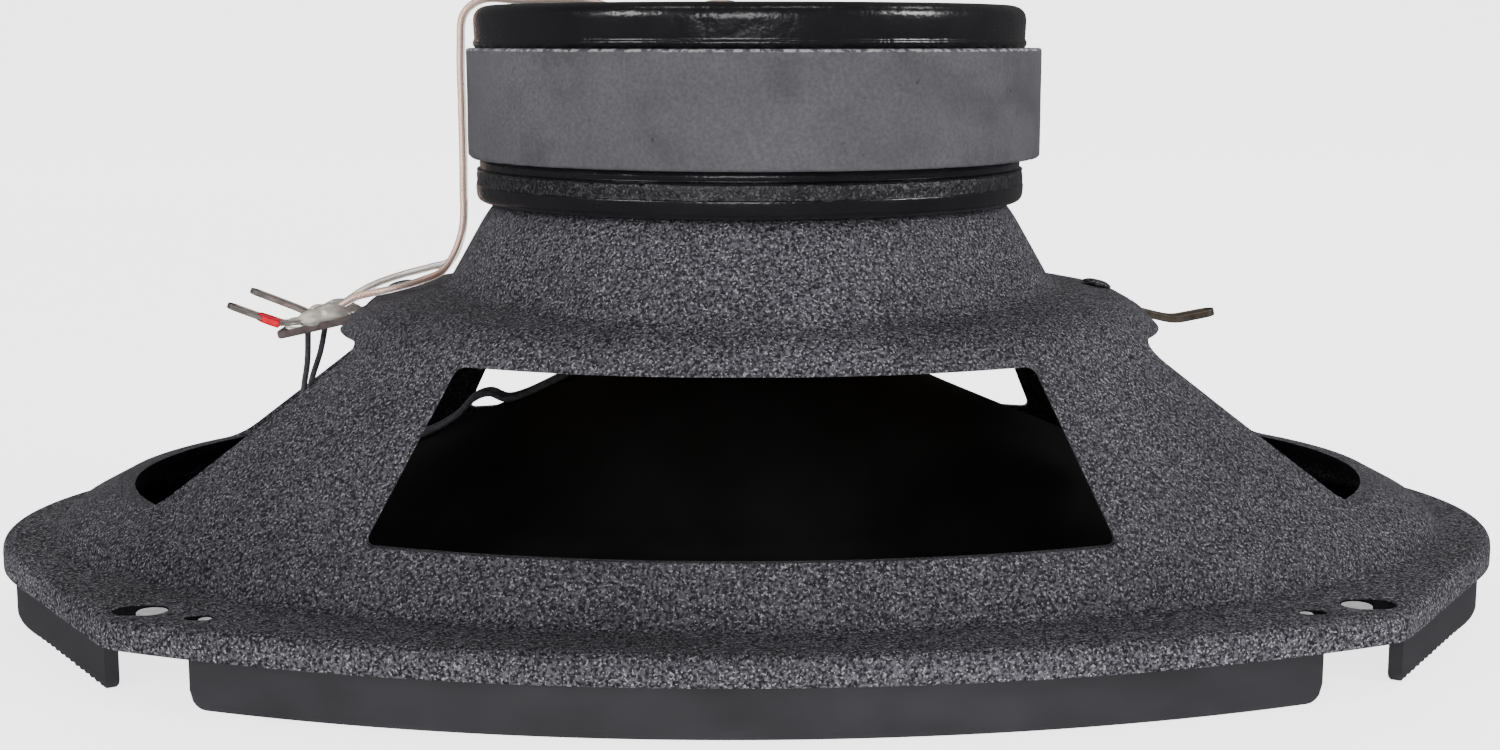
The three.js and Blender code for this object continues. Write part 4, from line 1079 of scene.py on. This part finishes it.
# ---- tweeter
def make_tweeter(plastic, metal, silk, copper, sleeve):
    stem = [(2.6, 21.8), (8.0, 21.8, 0.3), (8.0, 23.3, 0.3), (4.6, 23.3, 0.3)]
    for i in range(66):
        stem += [(4.6, 26.0 + i), (4.35, 26.5 + i)]
    stem += [(4.6, 92.3), (4.2, 92.8), (2.6, 92.8, 0.2)]
    make_piece("stem_thread", [turned(stem, 64)], metal, FRAME_BODY, ["tweeter_stem"])

    housing = [
        (2.6, 20.0), (19.5, 20.0, 0.8), (19.5, 5.6), (21.0, 5.6), (21.0, 21.5, 3.2), (8.4, 21.5, 0.3),
        (8.4, 21.1, 0.2), (2.6, 21.1),
    ]
    make_piece("tweeter_shell", [turned(housing, 160, steps=8)], plastic, FRAME_BODY, ["tweeter_housing"])

    ring = [
        (12.4, 5.6, 0.4), (14.4, 4.6, 0.6), (19.6, 4.0, 1.2), (21.0, 4.9, 0.6), (21.0, 5.3), (14.0, 5.3),
        (14.0, 8.7), (12.4, 8.7),
    ]
    parts = [turned(ring, 160, steps=6)]
    for k in range(3):
        angle = TURN * k / 3
        stops = ((1.2, 4.4), (7.3, 4.6), (13.4, 4.9))
        parts.append(tube([(r * math.cos(angle), r * math.sin(angle), z) for r, z in stops], 0.75))
    hub = [(0.0, 3.7), (3.4, 3.8, 0.7), (3.4, 5.2, 0.6), (0.0, 5.4)]
    parts.append(turned(hub, 64))
    make_piece("tweeter_guard", parts, plastic, FRAME_BODY, ["tweeter_face"])

    cup = [(8.3, 11.4, 0.2), (9.8, 11.4, 0.4), (9.8, 17.8, 0.6), (0.0, 17.8), (0.0, 16.5), (8.3, 16.5)]
    make_piece("tweeter_motor_cup", [turned(cup, 96)], metal, FRAME_BODY, ["tweeter_cup"])
    slug = [(0.0, 13.0), (6.3, 13.0, 0.3), (6.3, 16.2, 0.3), (0.0, 16.2)]
    make_piece("tweeter_slug", [turned(slug, 64)], metal, FRAME_BODY, ["tweeter_magnet"])
    pole = [(0.0, 11.4), (6.7, 11.4, 0.3), (6.7, 12.7, 0.2), (0.0, 12.7)]
    make_piece("tweeter_pole_disc", [turned(pole, 64)], metal, FRAME_BODY, ["tweeter_pole_piece"])

    dome = []
    edge_radius, edge, rise = 7.8, 9.3, 2.4
    sphere = (edge_radius**2 + rise**2) / (2 * rise)
    limit = math.asin(edge_radius / sphere)
    for radius, order in ((sphere, range(17)), (sphere - 0.3, range(16, -1, -1))):
        for i in order:
            angle = limit * i / 16
            dome.append((radius * math.sin(angle), edge - rise + sphere - radius * math.cos(angle)))
    make_piece("dome_silk", [turned(dome, 96)], silk, DOME_BODY, ["tweeter_dome"])
    coil = [(7.2, 9.4), (7.8, 9.4), (7.8, 12.6, 0.1), (7.2, 12.6, 0.1)]
    make_piece("dome_coil", [turned(coil, 96)], copper, DOME_BODY, ["tweeter_coil"])
    flexing = [(7.9, 9.0)]
    for i in range(13):
        t = i / 12
        flexing.append((8.4 + 3.4 * t, 9.0 - 0.9 * math.sin(math.pi * t)))
    flexing.append((13.6, 9.0))
    back = [(r, z + 0.28) for r, z in reversed(flexing)]
    piece = make_piece("dome_edge", [turned([*flexing, *back], 96)], silk, None, ["tweeter_surround"])
    flex(piece, lambda point: ease((11.8 - math.hypot(point[0], point[1])) / 3.4))

    can = [(0.0, 10.0), (3.2, 10.0, 0.7), (3.2, 17.6, 0.7), (0.0, 17.6)]
    part = moved(turned(can, 64), shift=(-15, 0, 0))
    make_piece("capacitor_can", [part], sleeve, FRAME_BODY, ["crossover_capacitor"])

    low, high = (corner[2] for corner in box_mm("stem_washer"))
    washer = [(4.9, low), (8.0, low, 0.2), (8.0, high, 0.25), (4.9, high, 0.2)]
    make_piece("washer_disc", [turned(washer, 96)], metal, FRAME_BODY, ["stem_washer"])
    make_nut(metal)


def make_nut(metal):
    (left, _, low), (right, _, high) = box_mm("stem_nut")
    across = (right - left) / 2
    chamfer = 0.5
    rings = []
    levels = [(4.7, low), (-chamfer, low), (0.0, low + chamfer)]
    levels += [(0.0, high - chamfer), (-chamfer, high), (4.7, high)]
    angles = TURN * np.arange(96) / 96
    for size, z in levels:
        if size > 1:
            reach = np.full(len(angles), size)
        else:
            flat = np.mod(angles, TURN / 6) - TURN / 12
            hexagon = across / np.cos(flat)
            reach = np.minimum(hexagon, across * 1.12 + size)
        rings.append(at_height(np.column_stack([reach * np.cos(angles), reach * np.sin(angles)]), z))
    make_piece("nut_hex", [loft(rings)], metal, FRAME_BODY, ["stem_nut"], sharp=25)


# ---- terminals
def platform_top(x):
    return PLATFORM_Z - (x - PLATFORM_X) * PLATFORM_SLOPE


def board_top(x):
    return platform_top(x) - (SHEET + BOARD_DROP) / math.cos(PLATFORM_TILT)


def bent_strip(line, thickness, width, y, taper=0.0, steps=5):
    """A strip of sheet metal along a centre line in the XZ plane, with a rounded free end."""
    path = rounded([(*p, 1.5) for p in line], steps, closed=False)
    fine = resample(path, step=0.25)
    along = unit(np.gradient(fine, axis=0))
    total = len(fine) - 1
    rings = []
    for i, (at, d) in enumerate(zip(fine, along)):
        normal = np.array([-d[1], d[0]]) * thickness / 2
        to_tip = (total - i) * 0.25
        half = width / 2 - taper * (i / total)
        if to_tip < half:
            half = math.sqrt(max(0.05, half**2 - (half - to_tip) ** 2))
        soft = 0.16
        section = []
        flat = (1 - soft / half, 1.0)
        steep = (1.0, 1 - soft / (thickness / 2))
        for sy, sn in ((-1, -1), (1, -1), (1, 1), (-1, 1)):
            for a, b in (flat, steep) if sy * sn > 0 else (steep, flat):
                point = at + normal * sn * b
                section.append((point[0], y + sy * half * a, point[1]))
        rings.append(np.array(section))
    return loft(rings, close_rings=False, caps=True)


def on_platform(part, side, x):
    """Places a part made about the origin on an end platform, square to its slope."""
    return moved(part, side * PLATFORM_TILT, (side * x, 0, platform_top(x)))


def make_rivet(name, node, side, grip, metal):
    profile = [
        (0.0, 0.95), (1.5, 0.85, 0.6), (2.4, 0.35, 0.3), (2.3, 0.1), (1.2, 0.1), (1.2, -grip),
        (2.2, -grip, 0.2), (1.6, -grip - 0.7, 0.3), (0.0, -grip - 0.75),
    ]
    make_piece(name, [on_platform(turned(profile, 48), side, PLATFORM_X)], metal, FRAME_BODY, [node])


def lug_line(bend, tip):
    lift = SEAM + 0.4
    return [(-66.0, board_top(66.0) + lift), (-71.0, board_top(71.0) + lift), bend, tip]


def glue_blob(material):
    """Clear glue over the lugs' roots, run together from a few drops."""
    drops = [
        (-66.2, -3.6, 0.8, 2.3), (-69.3, -3.9, 0.7, 2.0), (-72.2, -3.6, 0.5, 1.5),
        (-66.4, 3.4, 0.8, 2.2), (-69.6, 3.8, 0.8, 1.9), (-67.6, 0.2, 0.4, 2.4), (-64.2, -0.6, 0.4, 1.7),
    ]
    bm = bmesh.new()
    for x, y, lift, radius in drops:
        made = bmesh.ops.create_icosphere(bm, subdivisions=3, radius=radius * MM)
        for v in made["verts"]:
            v.co = Vector((v.co.x * 1.25, v.co.y * 1.1, v.co.z * 0.75))
            v.co += Vector((x, y, board_top(-x) + lift)) * MM
    mesh = bpy.data.meshes.new("glue")
    bm.to_mesh(mesh)
    bm.free()
    piece = finish_piece("terminal_glue", mesh, material, FRAME_BODY)
    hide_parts("solder_joint_positive", "solder_joint_negative")
    remesh = piece.modifiers.new("melt", "REMESH")
    remesh.mode = "VOXEL"
    remesh.voxel_size = 0.22 * MM
    smooth = piece.modifiers.new("soften", "SMOOTH")
    smooth.iterations = 8
    smooth.factor = 0.6
    bake_modifiers(piece, sharp=180)
    for v in piece.data.vertices:
        x, y, z = (c / MM for c in v.co)
        v.co += v.normal * 0.16 * MM * wobble(x, y, z, 1.4)


def make_terminals(board_stuff, tin, red, paint, steel, glue, solder):
    half = 7.0
    outline = rounded([(0, -half, 0.8), (24.2, -half + 2, 2.6), (24.2, half - 2, 2.6), (0, half, 0.8)], 8)
    plate = slab(outline * (-1, 1), -SHEET - BOARD_DROP - BOARD_THICKNESS, -SHEET - BOARD_DROP, 0.18)
    parts = [on_platform(plate, -1, 52.5)]
    board = make_piece("board_plate", parts, board_stuff, FRAME_BODY, ["terminal_board"])
    hole = on_platform(slab(slot_outline(0, 0, 3.0, 2.99), -7, 4, 0.01), -1, PLATFORM_X)
    cut_away(board, [hole])
    make_rivet("board_rivet", "terminal_rivet", -1, SHEET + BOARD_DROP + BOARD_THICKNESS + 0.1, paint)

    near = lug_line((-75.0, 43.8), (-82.9, 46.8))
    far = lug_line((-73.2, 45.2), (-80.9, 48.2))
    make_piece("lug_positive", [bent_strip(near, 0.8, 2.6, -LUG_Y)], tin, FRAME_BODY, ["positive_lug"])
    make_piece("lug_negative", [bent_strip(far, 0.8, 2.6, LUG_Y)], tin, FRAME_BODY, ["negative_lug"])
    dab = [(-74.6, 43.75), (-75.6, 44.05), (-76.8, 44.5), (-78.2, 45.03)]
    make_piece("red_dab", [bent_strip(dab, 1.16, 3.0, -LUG_Y)], red, FRAME_BODY, ["polarity_mark"])

    for name, side in (("solder_bead_positive", -1), ("solder_bead_negative", 1)):
        bead = [(0.0, 0.0), (1.7, 0.0, 0.3), (1.3, 0.9, 0.5), (0.5, 1.3, 0.4), (0.0, 1.35)]
        shift = (-67.0, side * LUG_Y, board_top(67.0) + 1.0)
        make_piece(name, [moved(turned(bead, 48), -PLATFORM_TILT, shift)], solder, FRAME_BODY)
    glue_blob(glue)

    def under(x):
        return platform_top(x) - SHEET / math.cos(PLATFORM_TILT) - 1.05

    line = [(53, under(53)), (NOTCH_START, under(NOTCH_START)), (64.5, 44.5), (68.5, 43.6), (75.2, 44.9)]
    make_piece("tab_strip", [bent_strip(line, 1.1, 4.4, 0.0, taper=0.3)], steel, FRAME_BODY, ["anchor_tab"])
    make_rivet("tab_rivet", "anchor_rivet", 1, SHEET + 0.6 + 0.9 + 0.1, paint)


# ---- leads
WIRE_PAIR = 0.68


def wire_route(side):
    """The two leads part over the end platform: the near one lies lower and closer to the edge."""
    y = side * WIRE_PAIR
    if side < 0:
        apart = [(-62.6, -5.0, 48.0), (-60.0, -7.3, 48.9), (-56.0, -9.3, 49.9)]
        apart += [(-51.5, -6.6, 51.0), (-48.5, -2.6, 52.4)]
    else:
        apart = [(-62.6, 4.0, 48.2), (-60.0, 4.3, 49.4), (-56.0, 4.5, 50.7)]
        apart += [(-51.5, 3.0, 52.0), (-48.0, 1.2, 53.3)]
    return [
        (-65.5, side * 3.9, board_top(65.5) + 1.6), *apart, (-46.0, y, 58.0), (-45.6, y, 66.0),
        (-45.6, y, 78.0), (-45.6, y, 87.0), (-45.0, y, 92.3), (-42.2, y, 94.5), (-36.0, y, 94.45),
        (-26.0, y, 94.45), (-22.5, y, 93.6), (-19.0, y, 92.7), (-10.0, y, 93.0), (-5.0, y, 94.0),
        (-1.6, y, 93.3), (-0.2, y, 90.0), (0.0, y, 80.0), (0.0, y, 60.0), (0.0, y, 40.0), (0.0, y, 24.0),
        (side * 0.8, side * 0.8, 20.2), (side * 5.0, side * 1.4, 18.9), (side * 11.4, side * 2.0, 18.9),
    ]


def make_leads(copper, tinned, skin, braid, tin):
    for name, side, core in (("positive", -1, copper), ("negative", 1, tinned)):
        route = wire_route(side)
        node = "tweeter_wire_" + name
        make_piece("wire_core_" + name, [tube(route, 0.3, 8, 0.8)], core, FRAME_BODY, [node])
        make_piece("wire_skin_" + name, [tube(route, 0.6, 12, 0.6)], skin, FRAME_BODY, [node])

    tinsel = {
        "positive": [(-70.7, -2, 42.6), (-70.9, -2.3, 37.5)],
        "negative": [(-68.6, 2, 42.9), (-69.6, 2.4, 38.5)],
    }
    tinsel["positive"] += [(-71.6, -2.5, 33), (-72.4, -2.3, 26), (-72.6, -2, 18.6)]
    tinsel["negative"] += [(-71.4, 2.6, 33), (-72.2, 2.3, 26), (-72.7, 2, 18.6)]
    for name, route in tinsel.items():
        node = "tinsel_lead_" + name
        piece = make_piece("tinsel_" + name, [tube(route, 0.48, 12, 0.3)], braid, None, [node])
        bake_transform(piece)

    tilt = math.atan((CONE_APEX_Z - CONE_EDGE_Z) * CONE_CURVE / (CONE_EDGE[0] - CONE_APEX_RADIUS))
    for name, side in (("positive", -1), ("negative", 1)):
        eyelet = [(0.0, 0.0), (1.7, 0.0, 0.2), (1.6, 0.7, 0.3), (0.8, 1.0, 0.2), (0.6, 1.5, 0.2), (0.0, 1.5)]
        part = moved(turned(eyelet, 32), -tilt, (-EYELET_X, side * 2.0, cone_height(EYELET_X)))
        make_piece("eyelet_" + name, [part], tin, CONE_BODY, ["lead_eyelet_" + name])
        make_piece("cone_lead_" + name, [tube(cone_lead_route(side), 0.5, 12, 0.4)], braid, CONE_BODY)


def cone_lead_route(side):
    """From an eyelet up the cone's back to the former, with one loop that stands clear of the paper."""
    stops = [(71.5, 1.1), (66, 0.7), (58, 0.7), (50, 0.8), (47, 1.6), (44.5, 3.2), (42, 3.0)]
    stops += [(39, 0.8), (28, 0.7), (18, 0.7)]
    route = []
    for x, lift in stops:
        route.append((-x, side * 2.0, cone_height(x) + lift))
    return route


# ---- the object
make_camera()
make_stage()

paint = textured_paint()
plastic = black_plastic()
gloss = gloss_coat()
metal = bare_metal("zinc_plate", (0.3, 0.32, 0.35), (0.5, 0.52, 0.55), 0.32)
tin = bare_metal("dull_tin", (0.3, 0.27, 0.25), (0.55, 0.5, 0.47), 0.38)
solder = bare_metal("solder", (0.5, 0.5, 0.5), (0.75, 0.75, 0.75), 0.25)
steel = bare_metal("bare_steel", (0.14, 0.115, 0.09), (0.28, 0.24, 0.2), 0.4)
copper = bare_metal("enamelled_copper", (0.35, 0.12, 0.05), (0.55, 0.2, 0.09), 0.3)
copper_core = bare_metal("copper_strands", (0.6, 0.3, 0.2), (0.8, 0.45, 0.33), 0.35)
tinned_core = bare_metal("tinned_strands", (0.55, 0.53, 0.52), (0.8, 0.78, 0.76), 0.35)
rubber = surround_rubber()
silk = cloth("dome_silk", (0.008, 0.008, 0.012), (0.02, 0.02, 0.028), 0.25, 0.55)
spider_cloth = cloth("spider_cloth", (0.28, 0.2, 0.08), (0.5, 0.38, 0.17), 0.5, 0.85)
braid = plain("braid", (0.02, 0.019, 0.023), (0.06, 0.057, 0.066), 0.7, size_mm=0.6, depth_mm=0.1)
film = plain("former_film", (0.36, 0.2, 0.07), (0.48, 0.29, 0.12), 0.4, size_mm=4)
sleeve = plain("capacitor_sleeve", (0.01, 0.02, 0.07), (0.016, 0.032, 0.1), 0.3, size_mm=4)
board_tones = (0.05, 0.037, 0.037), (0.1, 0.076, 0.074)
board_stuff = plain("fibre_board", *board_tones, 0.75, size_mm=1.2, depth_mm=0.06)
red = plain("red_paint", (0.62, 0.002, 0.02), (0.8, 0.006, 0.04), 0.4, size_mm=1.5, depth_mm=0.05, gloss=0.1)
skin = clear_skin("clear_pvc", (0.93, 0.88, 0.87), 0.22, 0.75)
glue = clear_skin("clear_glue", (0.95, 0.93, 0.88), 0.18, 0.7)

make_basket(paint)
# Pale plugs paint the light in the mounting holes, and dark sleeves paint the shade on their walls.
painted_light_plug = plain("painted_light_plug", (0.32, 0.32, 0.33), (0.45, 0.45, 0.46), 0.8, size_mm=1.5, gloss=0.1)
painted_shade_sleeve = plain("painted_shade_sleeve", (0.003, 0.003, 0.004), (0.007, 0.007, 0.008), 0.8, size_mm=1.0, gloss=0.05)
make_slot_light_and_shade(painted_light_plug, painted_shade_sleeve)
make_trim_ring(plastic)
make_motor(gloss, rough_coat(), ferrite())
make_cone(cone_paper())
make_surround(rubber)
make_spider(spider_cloth)
make_voice_coil(film, copper, rubber)
make_tweeter(plastic, metal, silk, copper, sleeve)
make_terminals(board_stuff, tin, red, paint, steel, glue, solder)
make_leads(copper_core, tinned_core, skin, braid, tin)
